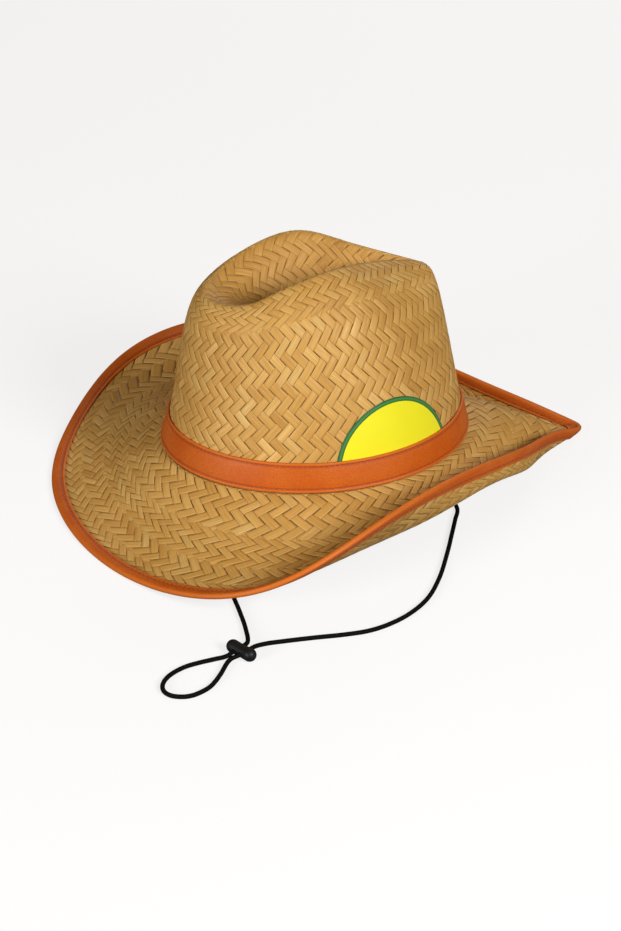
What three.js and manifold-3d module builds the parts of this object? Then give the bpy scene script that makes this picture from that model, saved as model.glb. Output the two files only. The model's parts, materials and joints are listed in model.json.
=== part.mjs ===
// A woven straw cowboy hat with vinyl trim and a chin cord, resting on a flat surface.
// Millimetres. +Z up, -Y to the front, +X to the wearer's left. The surface is z = 0.
import Module from "manifold-3d";
import * as THREE from "three";
import { mergeVertices } from "three/addons/utils/BufferGeometryUtils.js";

const wasm = await Module();
wasm.setup();

// The skin is the straw's outer face, which is also the brim's upper face.
const STRAW_WALL = 1.6;
const VINYL_WALL = 0.8;
const GAP = 0.3;
const STATIONS = 72;

// The head opening, where the crown's wall meets the brim.
const BASE = { half_width: 86.5, half_length: 101.5, along: -10.3, height: 36 };

// The brim's edge and the slopes of its section, every 20 degrees from the front to the back.
// Slopes are in degrees above the horizontal, going outwards.
const BRIM = [
  { half_width: 0, along: -183.3, height: 2.4, root_slope: -32, rim_slope: -4 },
  { half_width: 80.5, along: -167, height: 2.6, root_slope: -30, rim_slope: -2 },
  { half_width: 138, along: -131, height: 12, root_slope: -28, rim_slope: 8 },
  { half_width: 166, along: -84, height: 33, root_slope: -28, rim_slope: 38 },
  { half_width: 148, along: -16, height: 52, root_slope: -26, rim_slope: 58 },
  { half_width: 99, along: 63, height: 45.5, root_slope: -25, rim_slope: 100 },
  { half_width: 53, along: 120, height: 27, root_slope: -19, rim_slope: 96 },
  { half_width: 25, along: 151, height: 16.5, root_slope: -15, rim_slope: 84 },
  { half_width: 9.5, along: 173, height: 7.4, root_slope: -11, rim_slope: 76 },
  { half_width: 0, along: 182, height: 4.2, root_slope: -8, rim_slope: 50 },
];

// How far the section's two tangents reach, as shares of its chord, every 45 degrees.
const BRIM_REACH = [
  { root: 0.5, rim: 0.55 },
  { root: 0.44, rim: 0.3 },
  { root: 0.7, rim: 0.88 },
  { root: 0.7, rim: 0.57 },
  { root: 0.5, rim: 0.16 },
];

// How many degrees the edge's stations lag behind the head opening's, every 30 degrees. The edge
// narrows to a folded tip at the back, and the lag keeps the sections square to the opening.
const EDGE_LAG = [0, 4, 8, 16, 25, 21, 0];

// The fold round the crown's top and the bottom of the crease inside it, every 30 degrees.
const CROWN_TOP = [
  { half_width: 0, along: -83.5, height: 141, crease_along: -50, crease_height: 131 },
  { half_width: 25, along: -70, height: 144, crease_along: -43, crease_height: 129 },
  { half_width: 33, along: -51, height: 152, crease_along: -28, crease_height: 122 },
  { half_width: 34.5, along: -19, height: 162, crease_along: -10, crease_height: 117 },
  { half_width: 22, along: 10, height: 159, crease_along: 16, crease_height: 122 },
  { half_width: 4, along: 45, height: 149, crease_along: 38, crease_height: 133.5 },
  { half_width: 0, along: 63, height: 143, crease_along: 46, crease_height: 136.5 },
];

// The crown wall's section at the front, the side and the back.
const CROWN_WALL = [
  { lean: 19, rise_reach: 0.4, top_reach: 0.59, top_slope: 8 },
  { lean: 11.5, rise_reach: 0.48, top_reach: 0.53, top_slope: 16.5 },
  { lean: 15.5, rise_reach: 0.53, top_reach: 0.53, top_slope: 9 },
];
const CREASE_TOP_REACH = 0.36;
const CREASE_FLOOR_REACH = 0.35;

// The sections' steps: distances in from the brim's edge, then shares of each curve.
const BINDING_WIDTH = 9.5;
const EDGE_STEPS = [VINYL_WALL + GAP, 5, BINDING_WIDTH];
const BRIM_STEPS = [0.76, 0.64, 0.52, 0.41, 0.3, 0.2, 0.1, 0];
const WALL_STEPS = [0.12, 0.27, 0.44, 0.62, 0.77, 0.89, 1];
const CREASE_STEPS = [0.18, 0.38, 0.6, 0.8, 1];

const BAND = { bottom: 0.6, top: 19.5, thickness: 1.0 };
const LABEL = { centre_deg: 106.3, radius: 41.4, centre_height: 10.6, hidden: 15, thickness: 0.6 };

const TOGGLE = { x: 190.5, y: -125.5, radius: 4.1, length: 21.8, turn_deg: 26.8, bore_pitch: 5.2 };
const TOGGLE_BORE_RADIUS = 1.9;

const CORD_RADIUS = 1.4;
const CORD_SIDES = 8;
const CORD_STEPS = 80;
const LAID = CORD_RADIUS + 0.3;
const TAB = { thickness: 3.2, width: 9, height: 9, centre_height: 12 };

const STRAW = new THREE.MeshStandardMaterial({ color: 0xc9a063, roughness: 0.75 });
const VINYL = new THREE.MeshStandardMaterial({ color: 0xd9641e, roughness: 0.5 });
const LABEL_STOCK = new THREE.MeshStandardMaterial({ color: 0xf2e600, roughness: 0.4 });
const BLACK_CORD = new THREE.MeshStandardMaterial({ color: 0x141416, roughness: 0.8 });
const BLACK_PLASTIC = new THREE.MeshStandardMaterial({ color: 0x1b1b1d, roughness: 0.5 });

const column = (table, name) => table.map((row) => row[name]);

// A smooth curve through values at equal angles from the front to the back, the same on both sides.
function evenCurve(values) {
  const last = values.length - 1;
  const waves = values.map((_, wave) => {
    const sum = values.reduce((total, value, i) => {
      const share = i === 0 || i === last ? 0.5 : 1;
      return total + share * value * Math.cos((Math.PI * wave * i) / last);
    }, 0);
    return (sum * (wave === 0 || wave === last ? 1 : 2)) / last;
  });
  return (angle) => waves.reduce((total, size, wave) => total + size * Math.cos(wave * angle), 0);
}

// The same for a half width: zero at the front and the back, and mirrored on the other side.
function oddCurve(values) {
  const last = values.length - 1;
  const waves = values.map((_, wave) => {
    const sum = values.reduce(
      (total, value, i) => total + value * Math.sin((Math.PI * wave * i) / last),
      0,
    );
    return wave === 0 || wave === last ? 0 : (sum * 2) / last;
  });
  return (angle) => waves.reduce((total, size, wave) => total + size * Math.sin(wave * angle), 0);
}

const edgeLag = oddCurve(EDGE_LAG);
const brimEdge = {
  x: oddCurve(column(BRIM, "half_width")),
  y: evenCurve(column(BRIM, "along")),
  z: evenCurve(column(BRIM, "height")),
  rootSlope: evenCurve(column(BRIM, "root_slope")),
  rimSlope: evenCurve(column(BRIM, "rim_slope")),
  rootReach: evenCurve(column(BRIM_REACH, "root")),
  rimReach: evenCurve(column(BRIM_REACH, "rim")),
};
const crownFold = {
  x: oddCurve(column(CROWN_TOP, "half_width")),
  y: evenCurve(column(CROWN_TOP, "along")),
  z: evenCurve(column(CROWN_TOP, "height")),
  creaseY: evenCurve(column(CROWN_TOP, "crease_along")),
  creaseZ: evenCurve(column(CROWN_TOP, "crease_height")),
};
const crownWall = {
  lean: evenCurve(column(CROWN_WALL, "lean")),
  riseReach: evenCurve(column(CROWN_WALL, "rise_reach")),
  topReach: evenCurve(column(CROWN_WALL, "top_reach")),
  topSlope: evenCurve(column(CROWN_WALL, "top_slope")),
};

const radians = THREE.MathUtils.degToRad;

// A step of a given length along a level direction, tilted up by a slope in degrees.
function tilted(level, slope, length) {
  const step = level.clone().multiplyScalar(length * Math.cos(radians(slope)));
  step.z = length * Math.sin(radians(slope));
  return step;
}

function basePoint(angle) {
  return new THREE.Vector3(
    BASE.half_width * Math.sin(angle),
    BASE.along - BASE.half_length * Math.cos(angle),
    BASE.height,
  );
}

// The brim's section at an angle from the front, from the head opening to the edge.
function brimSection(angle) {
  const root = basePoint(angle);
  const station = angle - radians(edgeLag(angle));
  const edge = new THREE.Vector3(brimEdge.x(station), brimEdge.y(station), brimEdge.z(station));
  const chord = edge.distanceTo(root);
  const outwards = edge.clone().sub(root).setZ(0).normalize();
  const rootReach = chord * brimEdge.rootReach(station);
  const rimReach = chord * brimEdge.rimReach(station);
  return new THREE.CubicBezierCurve3(
    root,
    root.clone().add(tilted(outwards, brimEdge.rootSlope(station), rootReach)),
    edge.clone().sub(tilted(outwards, brimEdge.rimSlope(station), rimReach)),
    edge,
  );
}

function foldPoint(angle) {
  return new THREE.Vector3(crownFold.x(angle), crownFold.y(angle), crownFold.z(angle));
}

// The crown's wall, from the head opening up to the fold round its top.
function wallSection(angle) {
  const root = basePoint(angle);
  const fold = foldPoint(angle);
  const inwards = fold.clone().sub(root).setZ(0);
  const span = inwards.length();
  inwards.normalize();
  const rise = (fold.z - root.z) * crownWall.riseReach(angle);
  return new THREE.CubicBezierCurve3(
    root,
    root.clone().add(tilted(inwards, 90 - crownWall.lean(angle), rise)),
    fold.clone().sub(tilted(inwards, crownWall.topSlope(angle), span * crownWall.topReach(angle))),
    fold,
  );
}

// The crease's side, from the fold down to the crease's bottom line.
function creaseSection(angle) {
  const fold = foldPoint(angle);
  const floor = new THREE.Vector3(0, crownFold.creaseY(angle), crownFold.creaseZ(angle));
  const inwards = floor.clone().sub(fold).setZ(0);
  return new THREE.CubicBezierCurve3(
    fold,
    fold.clone().addScaledVector(inwards, CREASE_TOP_REACH),
    floor.clone().addScaledVector(inwards, -CREASE_FLOOR_REACH),
    floor,
  );
}

// The share of a brim section that lies a given distance in from its edge.
function shareFromEdge(section, distance) {
  return 1 - distance / (3 * section.v2.distanceTo(section.v3));
}

// The share of a wall section at a height over the head opening.
function shareAtHeight(section, height) {
  let low = 0;
  let high = 0.5;
  for (let step = 0; step < 30; step += 1) {
    const middle = (low + high) / 2;
    if (section.getPoint(middle).z < BASE.height + height) low = middle;
    else high = middle;
  }
  return high;
}

const NUDGE = 0.002;

// The skin's outward normal where a section is met, from nearby sections and shares. The sections
// of the crease close up at their ends, so there it is taken just before the end.
function skinNormal(sectionAt, shareAt, angle) {
  const section = sectionAt(angle);
  const limit = sectionAt === creaseSection ? 0.96 : 1;
  const shareOf = (curve) => Math.min(shareAt(curve), limit);
  const share = shareOf(section);
  const low = Math.max(share - NUDGE, 0);
  const high = Math.min(share + NUDGE, 1);
  const up = section.getPoint(high).sub(section.getPoint(low));
  const ahead = sectionAt(angle + NUDGE);
  const behind = sectionAt(angle - NUDGE);
  const round = ahead.getPoint(shareOf(ahead)).sub(behind.getPoint(shareOf(behind)));
  return round.cross(up).normalize();
}

// A point on the skin and its outward normal.
function skinSpot(sectionAt, shareAt, angle) {
  const section = sectionAt(angle);
  return {
    point: section.getPoint(shareAt(section)),
    normal: skinNormal(sectionAt, shareAt, angle),
  };
}

const brimSpot = (angle, shareAt) => {
  const spot = skinSpot(brimSection, shareAt, angle);
  spot.normal.negate();
  return spot;
};
const edgeSpot = (angle, distance) =>
  brimSpot(angle, (section) => shareFromEdge(section, distance));
const wallSpot = (angle, height) =>
  skinSpot(wallSection, (section) => shareAtHeight(section, height), angle);

const lifted = (spot, distance) => spot.point.clone().addScaledVector(spot.normal, distance);

const stationAngle = (i) => (2 * Math.PI * i) / STATIONS;

function geometryOf(points, triangles) {
  const geometry = new THREE.BufferGeometry().setFromPoints(points);
  geometry.setIndex(triangles.flat());
  geometry.computeVertexNormals();
  return geometry;
}

const quad = (a, b, c, d) => [
  [a, b, c],
  [a, c, d],
];

// A closed ring whose cross-section at each station is a loop of points.
function ringOf(loops) {
  const size = loops[0].length;
  const at = (i, j) => (i % loops.length) * size + (j % size);
  const triangles = [];
  for (let i = 0; i < loops.length; i += 1) {
    for (let j = 0; j < size; j += 1) {
      triangles.push(...quad(at(i, j), at(i, j + 1), at(i + 1, j + 1), at(i + 1, j)));
    }
  }
  return geometryOf(loops.flat(), triangles);
}

// The straw: one woven skin from the brim's edge to the crease's bottom line, and its inner face.
function strawBody() {
  const outer = [];
  const inner = [];
  const baseNormal = (angle) => {
    const brim = brimSpot(angle, () => 0).normal;
    const wall = skinSpot(wallSection, () => 0, angle).normal;
    return brim.add(wall).normalize();
  };
  for (let i = 0; i < STATIONS; i += 1) {
    const angle = stationAngle(i);
    const spots = [
      ...EDGE_STEPS.map((distance) => edgeSpot(angle, distance)),
      ...BRIM_STEPS.map((share) => brimSpot(angle, () => share)),
      ...WALL_STEPS.map((share) => skinSpot(wallSection, () => share, angle)),
      ...CREASE_STEPS.map((share) => skinSpot(creaseSection, () => share, angle)),
    ];
    const corner = EDGE_STEPS.length + BRIM_STEPS.length - 1;
    spots[corner].normal.copy(baseNormal(angle));
    const seam = spots[spots.length - 1];
    seam.point.x = 0;
    seam.normal.setX(0).normalize();
    outer.push(spots.map((spot) => spot.point));
    inner.push(spots.map((spot) => lifted(spot, -STRAW_WALL)));
  }
  const rows = outer[0].length;
  const half = STATIONS / 2;
  const at = (layer, i, j) => {
    const station = i % STATIONS;
    const onSeam = j === rows - 1 && station > half;
    return layer * STATIONS * rows + (onSeam ? STATIONS - station : station) * rows + j;
  };
  const triangles = [];
  for (let i = 0; i < STATIONS; i += 1) {
    for (let j = 0; j < rows - 1; j += 1) {
      const [a, b, c, d] = [[i, j], [i + 1, j], [i + 1, j + 1], [i, j + 1]];
      triangles.push(...quad(at(0, ...a), at(0, ...b), at(0, ...c), at(0, ...d)));
      triangles.push(...quad(at(1, ...b), at(1, ...a), at(1, ...d), at(1, ...c)));
    }
    triangles.push(...quad(at(1, i, 0), at(1, i + 1, 0), at(0, i + 1, 0), at(0, i, 0)));
  }
  const whole = triangles.filter(([a, b, c]) => a !== b && b !== c && c !== a);
  return geometryOf([...outer.flat(), ...inner.flat()], whole);
}

// The vinyl strip folded round the brim's edge, pressed flat where it meets the surface.
function brimBinding() {
  const top = GAP + VINYL_WALL;
  const bottom = -STRAW_WALL - GAP - VINYL_WALL;
  const middle = -STRAW_WALL / 2;
  const section = [
    { in: BINDING_WIDTH, up: top },
    { in: 5, up: top },
    { in: VINYL_WALL + GAP, up: top },
    { in: 0.3, up: top - 0.8 },
    { in: 0, up: middle },
    { in: 0.3, up: bottom + 0.8 },
    { in: VINYL_WALL + GAP, up: bottom },
    { in: 5, up: bottom },
    { in: BINDING_WIDTH, up: bottom },
    { in: BINDING_WIDTH, up: -STRAW_WALL - GAP },
    { in: 5, up: -STRAW_WALL - GAP },
    { in: VINYL_WALL, up: -STRAW_WALL - GAP },
    { in: VINYL_WALL, up: GAP },
    { in: 5, up: GAP },
    { in: BINDING_WIDTH, up: GAP },
  ];
  const loops = [];
  for (let i = 0; i < STATIONS; i += 1) {
    const angle = stationAngle(i);
    const loop = section.map((corner) => lifted(edgeSpot(angle, corner.in), corner.up));
    loops.push(loop.map((point) => point.setZ(Math.max(point.z, 0))));
  }
  return ringOf(loops);
}

// How far along the wall an angle lies from the label's centre.
function arcFromLabel(angle) {
  const radius = (BASE.half_width + BASE.half_length) / 2;
  return (angle - radians(LABEL.centre_deg)) * radius;
}

// The band's gap to the straw, wider where the label is tucked behind it.
function bandGap(angle) {
  const past = Math.abs(arcFromLabel(angle)) - LABEL.radius;
  return GAP + (LABEL.thickness + GAP) * (1 - THREE.MathUtils.smoothstep(past, 2, 24));
}

function hatBand() {
  const middle = (BAND.bottom + BAND.top) / 2;
  const loops = [];
  for (let i = 0; i < STATIONS; i += 1) {
    const angle = stationAngle(i);
    const inside = bandGap(angle);
    const outside = inside + BAND.thickness;
    const rise = [BAND.bottom, middle, BAND.top].map((height) => wallSpot(angle, height));
    loops.push([
      ...rise.map((spot) => lifted(spot, inside)),
      ...rise.map((spot) => lifted(spot, outside)).reverse(),
    ]);
  }
  return ringOf(loops);
}

// A round label bent to the wall, cut off straight below the band's top edge.
function labelBadge() {
  const rows = 9;
  const columns = 10;
  const lowest = BAND.top - LABEL.hidden - LABEL.centre_height;
  const firstTurn = Math.asin(lowest / LABEL.radius);
  const lastTurn = radians(84);
  const layers = [GAP, GAP + LABEL.thickness].map(() => []);
  for (let i = 0; i <= rows; i += 1) {
    const turn = THREE.MathUtils.lerp(firstTurn, lastTurn, i / rows);
    const height = LABEL.centre_height + LABEL.radius * Math.sin(turn);
    const halfWidth = LABEL.radius * Math.cos(turn);
    for (let j = 0; j <= columns; j += 1) {
      const across = halfWidth * ((2 * j) / columns - 1);
      const radius = (BASE.half_width + BASE.half_length) / 2;
      const spot = wallSpot(radians(LABEL.centre_deg) + across / radius, height);
      layers[0].push(lifted(spot, GAP));
      layers[1].push(lifted(spot, GAP + LABEL.thickness));
    }
  }
  const at = (layer, i, j) => (layer * (rows + 1) + i) * (columns + 1) + j;
  const triangles = [];
  for (let i = 0; i < rows; i += 1) {
    for (let j = 0; j < columns; j += 1) {
      triangles.push(...quad(at(1, i, j), at(1, i, j + 1), at(1, i + 1, j + 1), at(1, i + 1, j)));
      triangles.push(...quad(at(0, i, j), at(0, i + 1, j), at(0, i + 1, j + 1), at(0, i, j + 1)));
    }
    triangles.push(...quad(at(0, i, 0), at(1, i, 0), at(1, i + 1, 0), at(0, i + 1, 0)));
    const k = columns;
    triangles.push(...quad(at(0, i, k), at(0, i + 1, k), at(1, i + 1, k), at(1, i, k)));
  }
  for (let j = 0; j < columns; j += 1) {
    triangles.push(...quad(at(0, 0, j), at(0, 0, j + 1), at(1, 0, j + 1), at(1, 0, j)));
    const k = rows;
    triangles.push(...quad(at(0, k, j), at(1, k, j), at(1, k, j + 1), at(0, k, j + 1)));
  }
  return geometryOf(layers.flat(), triangles);
}

function manifoldOf(geometry) {
  const plain = geometry.clone();
  plain.deleteAttribute("normal");
  plain.deleteAttribute("uv");
  const merged = mergeVertices(plain, 1e-4);
  const mesh = new wasm.Mesh({
    numProp: 3,
    vertProperties: new Float32Array(merged.attributes.position.array),
    triVerts: new Uint32Array(merged.index.array),
  });
  return new wasm.Manifold(mesh);
}

function geometryFrom(solid) {
  const mesh = solid.getMesh();
  const geometry = new THREE.BufferGeometry();
  geometry.setAttribute("position", new THREE.BufferAttribute(mesh.vertProperties, 3));
  geometry.setIndex(new THREE.BufferAttribute(mesh.triVerts, 1));
  geometry.computeVertexNormals();
  return geometry;
}

// The cord lock: a round-ended barrel along X with two bores along Y.
function cordToggle() {
  const barrel = new THREE.CapsuleGeometry(
    TOGGLE.radius, TOGGLE.length - 2 * TOGGLE.radius, 4, 14,
  ).rotateZ(Math.PI / 2);
  let solid = manifoldOf(barrel);
  for (const side of [-1, 1]) {
    const bore = new THREE.CylinderGeometry(
      TOGGLE_BORE_RADIUS, TOGGLE_BORE_RADIUS, 4 * TOGGLE.radius, 12,
    ).translate((side * TOGGLE.bore_pitch) / 2, 0, 0);
    solid = solid.subtract(manifoldOf(bore));
  }
  return geometryFrom(solid);
}

// A place by the lock: along its barrel, along its bores away from the hat, and up.
function byToggle(along, out, height) {
  const turn = radians(TOGGLE.turn_deg);
  return new THREE.Vector3(
    TOGGLE.x + along * Math.cos(turn) + out * Math.sin(turn),
    TOGGLE.y + along * Math.sin(turn) - out * Math.cos(turn),
    height,
  );
}

// The tabs that hold the cord's ends, on the crown's inner wall at either side.
function tabPlace(side) {
  const spot = wallSpot((side * Math.PI) / 2, TAB.centre_height);
  const centre = lifted(spot, -STRAW_WALL - 2 * GAP - TAB.thickness / 2);
  const lean = Math.atan2(spot.normal.z, Math.abs(spot.normal.x));
  return { centre, lean };
}

function cordTab(side) {
  const { centre, lean } = tabPlace(side);
  const mesh = new THREE.Mesh(
    new THREE.BoxGeometry(TAB.thickness, TAB.width, TAB.height),
    VINYL,
  );
  mesh.position.copy(centre);
  mesh.rotation.y = -side * lean;
  return mesh;
}

// The middle of a tab's lower end, and places below it in line with the tab.
function belowTab(side, drop) {
  const { centre, lean } = tabPlace(side);
  const length = TAB.height / 2 + drop;
  return new THREE.Vector3(
    centre.x + side * length * Math.sin(lean),
    centre.y,
    centre.z - length * Math.cos(lean),
  );
}

const point = (x, y, z = LAID) => new THREE.Vector3(x, y, z);

// The cord's route: from the right tab down and across the surface under the hat, out below the
// brim on the left, through the lock, round its free loop and back in to the left tab.
function cordRoute() {
  const half = TOGGLE.bore_pitch / 2;
  const level = TOGGLE.radius;
  return [
    belowTab(-1, GAP),
    belowTab(-1, 12),
    point(-72, -21, 14),
    point(-52, -33, 4),
    point(-28, -47),
    point(20, -73),
    point(70, -97),
    point(104, -107.5),
    point(128.5, -110),
    point(148, -112),
    point(165.5, -114.5),
    byToggle(-half - 1.8, -9.5, level - 0.7),
    byToggle(-half, -4, level),
    byToggle(-half, 4, level),
    byToggle(-half - 1, 8.5, level - 1.5),
    point(190.5, -142.5),
    point(191, -151.5),
    point(192.5, -161),
    point(197, -170.5),
    point(202, -176),
    point(207.5, -179),
    point(213, -179.5),
    point(218, -177),
    point(221.5, -171),
    point(222, -165.5),
    point(220.5, -160),
    point(217.5, -154),
    point(213, -149),
    point(206.5, -143.5),
    byToggle(half - 2.3, 9.5, level - 1.6),
    byToggle(half, 4, level),
    byToggle(half, -4, level),
    byToggle(half - 1, -10.5, level - 1.2),
    point(185, -107.5),
    point(186, -98),
    point(188.5, -79.5),
    point(191.5, -61),
    point(192.5, -47),
    point(190.5, -34.5),
    point(184, -18),
    point(171.5, -0.5),
    point(152, 15.5),
    point(123, 33.5),
    point(104.5, 44),
    point(88.5, 53),
    point(75, 60),
    point(63, 59, 4),
    point(59, 45, 10),
    point(63, 24, 18),
    point(73, 4, 25),
    belowTab(1, 12),
    belowTab(1, GAP),
  ];
}

function chinCord() {
  const corners = Array.from({ length: CORD_SIDES }, (_, i) => {
    const turn = (2 * Math.PI * (i + 0.5)) / CORD_SIDES;
    return new THREE.Vector2(CORD_RADIUS * Math.cos(turn), CORD_RADIUS * Math.sin(turn));
  });
  return new THREE.ExtrudeGeometry(new THREE.Shape(corners), {
    steps: CORD_STEPS,
    extrudePath: new THREE.CatmullRomCurve3(cordRoute(), false, "centripetal"),
  });
}

const hat = new THREE.Group();

function add(name, mesh) {
  mesh.name = name;
  hat.add(mesh);
  return mesh;
}

add("straw_body", new THREE.Mesh(strawBody(), STRAW));
add("brim_binding", new THREE.Mesh(brimBinding(), VINYL));
add("hat_band", new THREE.Mesh(hatBand(), VINYL));
add("label_badge", new THREE.Mesh(labelBadge(), LABEL_STOCK));
add("cord_tab_left", cordTab(1));
add("cord_tab_right", cordTab(-1));
add("chin_cord", new THREE.Mesh(chinCord(), BLACK_CORD));

const toggle = add("cord_toggle", new THREE.Mesh(cordToggle(), BLACK_PLASTIC));
toggle.position.set(TOGGLE.x, TOGGLE.y, TOGGLE.radius);
toggle.rotation.z = radians(TOGGLE.turn_deg);

export default hat;
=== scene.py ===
"""A woven straw cowboy hat with vinyl trim, a round label and a chin cord, dressed on its frame.

Lengths are millimetres until a mesh is made, and metres from there on. +Z is up, -Y is the front
and +X the wearer's left. The surface that the hat rests on is z = 0.
"""

import json
import logging
import math
from collections.abc import Callable, Sequence
from dataclasses import dataclass, field, fields
from enum import Enum

import bmesh
import bpy
import numpy as np
from bpy.types import Material, Mesh, Node, NodeSocket, NodeTree, Object
from mathutils import Matrix, Vector
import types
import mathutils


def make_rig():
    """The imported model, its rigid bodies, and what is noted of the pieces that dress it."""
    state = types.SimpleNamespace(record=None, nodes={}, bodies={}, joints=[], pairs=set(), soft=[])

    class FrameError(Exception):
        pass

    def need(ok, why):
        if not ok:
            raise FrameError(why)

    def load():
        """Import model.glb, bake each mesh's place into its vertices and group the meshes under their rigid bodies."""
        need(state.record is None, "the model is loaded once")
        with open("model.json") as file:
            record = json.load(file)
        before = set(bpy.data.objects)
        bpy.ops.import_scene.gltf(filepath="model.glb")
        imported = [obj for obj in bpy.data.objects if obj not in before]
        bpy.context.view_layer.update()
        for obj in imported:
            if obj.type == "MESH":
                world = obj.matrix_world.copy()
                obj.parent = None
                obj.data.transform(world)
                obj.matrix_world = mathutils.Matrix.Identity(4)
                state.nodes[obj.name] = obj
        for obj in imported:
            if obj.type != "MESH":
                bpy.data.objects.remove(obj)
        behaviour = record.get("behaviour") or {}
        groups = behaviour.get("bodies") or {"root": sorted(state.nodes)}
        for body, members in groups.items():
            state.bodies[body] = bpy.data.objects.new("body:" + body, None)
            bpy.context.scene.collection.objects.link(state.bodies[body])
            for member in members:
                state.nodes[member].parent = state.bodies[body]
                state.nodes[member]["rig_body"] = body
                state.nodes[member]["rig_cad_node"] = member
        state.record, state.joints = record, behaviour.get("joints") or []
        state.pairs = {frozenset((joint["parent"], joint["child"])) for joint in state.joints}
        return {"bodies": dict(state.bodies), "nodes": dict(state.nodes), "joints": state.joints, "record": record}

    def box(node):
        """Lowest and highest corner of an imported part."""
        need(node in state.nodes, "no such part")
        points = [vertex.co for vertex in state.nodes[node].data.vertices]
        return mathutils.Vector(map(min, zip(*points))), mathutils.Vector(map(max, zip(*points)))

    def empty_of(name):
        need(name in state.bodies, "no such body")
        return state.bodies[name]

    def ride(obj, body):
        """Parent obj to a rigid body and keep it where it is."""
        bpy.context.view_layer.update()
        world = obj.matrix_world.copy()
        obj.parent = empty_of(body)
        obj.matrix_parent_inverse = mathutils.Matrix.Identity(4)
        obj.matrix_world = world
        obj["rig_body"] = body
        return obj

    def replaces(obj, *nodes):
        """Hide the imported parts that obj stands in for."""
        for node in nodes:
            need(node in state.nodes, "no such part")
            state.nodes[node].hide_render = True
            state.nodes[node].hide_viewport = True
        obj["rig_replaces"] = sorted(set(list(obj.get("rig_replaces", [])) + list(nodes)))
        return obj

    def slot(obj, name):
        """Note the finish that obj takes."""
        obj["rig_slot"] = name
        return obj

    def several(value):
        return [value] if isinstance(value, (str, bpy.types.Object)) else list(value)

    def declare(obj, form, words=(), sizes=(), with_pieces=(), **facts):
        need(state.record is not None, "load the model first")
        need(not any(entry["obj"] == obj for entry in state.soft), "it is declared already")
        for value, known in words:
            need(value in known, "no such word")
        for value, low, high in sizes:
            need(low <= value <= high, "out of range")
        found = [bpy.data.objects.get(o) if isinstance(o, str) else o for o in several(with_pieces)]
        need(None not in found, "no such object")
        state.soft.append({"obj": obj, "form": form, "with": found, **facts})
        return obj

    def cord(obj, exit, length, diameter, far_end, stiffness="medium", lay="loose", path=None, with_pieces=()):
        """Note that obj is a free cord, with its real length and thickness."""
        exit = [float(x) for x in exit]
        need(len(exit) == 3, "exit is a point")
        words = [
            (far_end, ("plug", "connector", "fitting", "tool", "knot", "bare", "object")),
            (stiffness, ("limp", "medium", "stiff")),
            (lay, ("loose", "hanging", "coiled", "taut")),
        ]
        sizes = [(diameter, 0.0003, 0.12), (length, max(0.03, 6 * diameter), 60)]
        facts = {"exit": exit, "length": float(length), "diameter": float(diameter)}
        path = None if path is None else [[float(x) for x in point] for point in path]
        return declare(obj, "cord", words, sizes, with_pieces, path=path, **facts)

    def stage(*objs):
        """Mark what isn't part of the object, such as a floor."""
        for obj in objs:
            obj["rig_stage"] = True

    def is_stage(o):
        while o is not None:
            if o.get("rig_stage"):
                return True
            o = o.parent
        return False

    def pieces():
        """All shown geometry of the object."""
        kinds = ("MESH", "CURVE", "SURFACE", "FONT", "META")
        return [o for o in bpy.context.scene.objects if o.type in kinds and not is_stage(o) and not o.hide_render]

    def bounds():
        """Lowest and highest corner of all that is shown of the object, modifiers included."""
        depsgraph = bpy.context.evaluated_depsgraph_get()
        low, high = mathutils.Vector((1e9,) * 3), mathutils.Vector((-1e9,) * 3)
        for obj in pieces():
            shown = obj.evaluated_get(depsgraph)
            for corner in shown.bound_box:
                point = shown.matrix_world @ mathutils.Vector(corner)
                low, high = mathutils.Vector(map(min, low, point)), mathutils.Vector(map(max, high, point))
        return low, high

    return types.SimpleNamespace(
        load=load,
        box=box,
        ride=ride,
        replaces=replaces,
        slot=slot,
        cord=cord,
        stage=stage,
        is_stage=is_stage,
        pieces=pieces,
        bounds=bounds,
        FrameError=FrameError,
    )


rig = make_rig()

log = logging.getLogger("hat")

MM = 0.001
TURN = 2 * math.pi
STRAW_WALL = 1.6

# The weave's columns and rows are stored as a UV map, which is searched fast only from 0 to 1.
LATTICE_SPAN = 200.0
PATCH_VECTORS = ("lattice", "outwards", "past")

# The cord's declared path takes one of so many of its points.
PATH_STEP = 5

# The crease's two sides meet at share 2, where a normal is read a little before the seam.
NEAR_SEAM = 1.96
AT_SEAM = 1.999

# A height on the wall is looked for below this share, by halving.
WALL_LIMIT = 0.6
HALVINGS = 24

Points = np.ndarray
Colour = tuple[float, float, float]


class Side(Enum):
    """The face of the straw that a weave covers, with the way its strips are lifted."""

    OUTER = 1
    INNER = -1


class Slot(Enum):
    """The record's material slots."""

    STRAW = "straw"
    VINYL = "orange_vinyl"
    LABEL = "label"
    CORD = "black_cord"
    PLASTIC = "black_plastic"


def table(kind: type, rows: Sequence[tuple]) -> tuple:
    """Makes a table's records from rows of their values."""
    return tuple(kind(*row) for row in rows)


# The hat's surface


@dataclass(frozen=True)
class EdgeStation:
    """The brim's edge and its section's slopes in degrees, going outwards, at one angle."""

    half_width: float
    along: float
    height: float
    root_slope: float
    rim_slope: float


@dataclass(frozen=True)
class TopStation:
    """The fold round the crown's top and the crease's bottom line at one angle."""

    half_width: float
    along: float
    height: float
    crease_along: float
    crease_height: float


@dataclass(frozen=True)
class WallStation:
    """How the crown's wall leans and bends at one angle."""

    lean: float
    rise_reach: float
    top_reach: float
    top_slope: float


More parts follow.
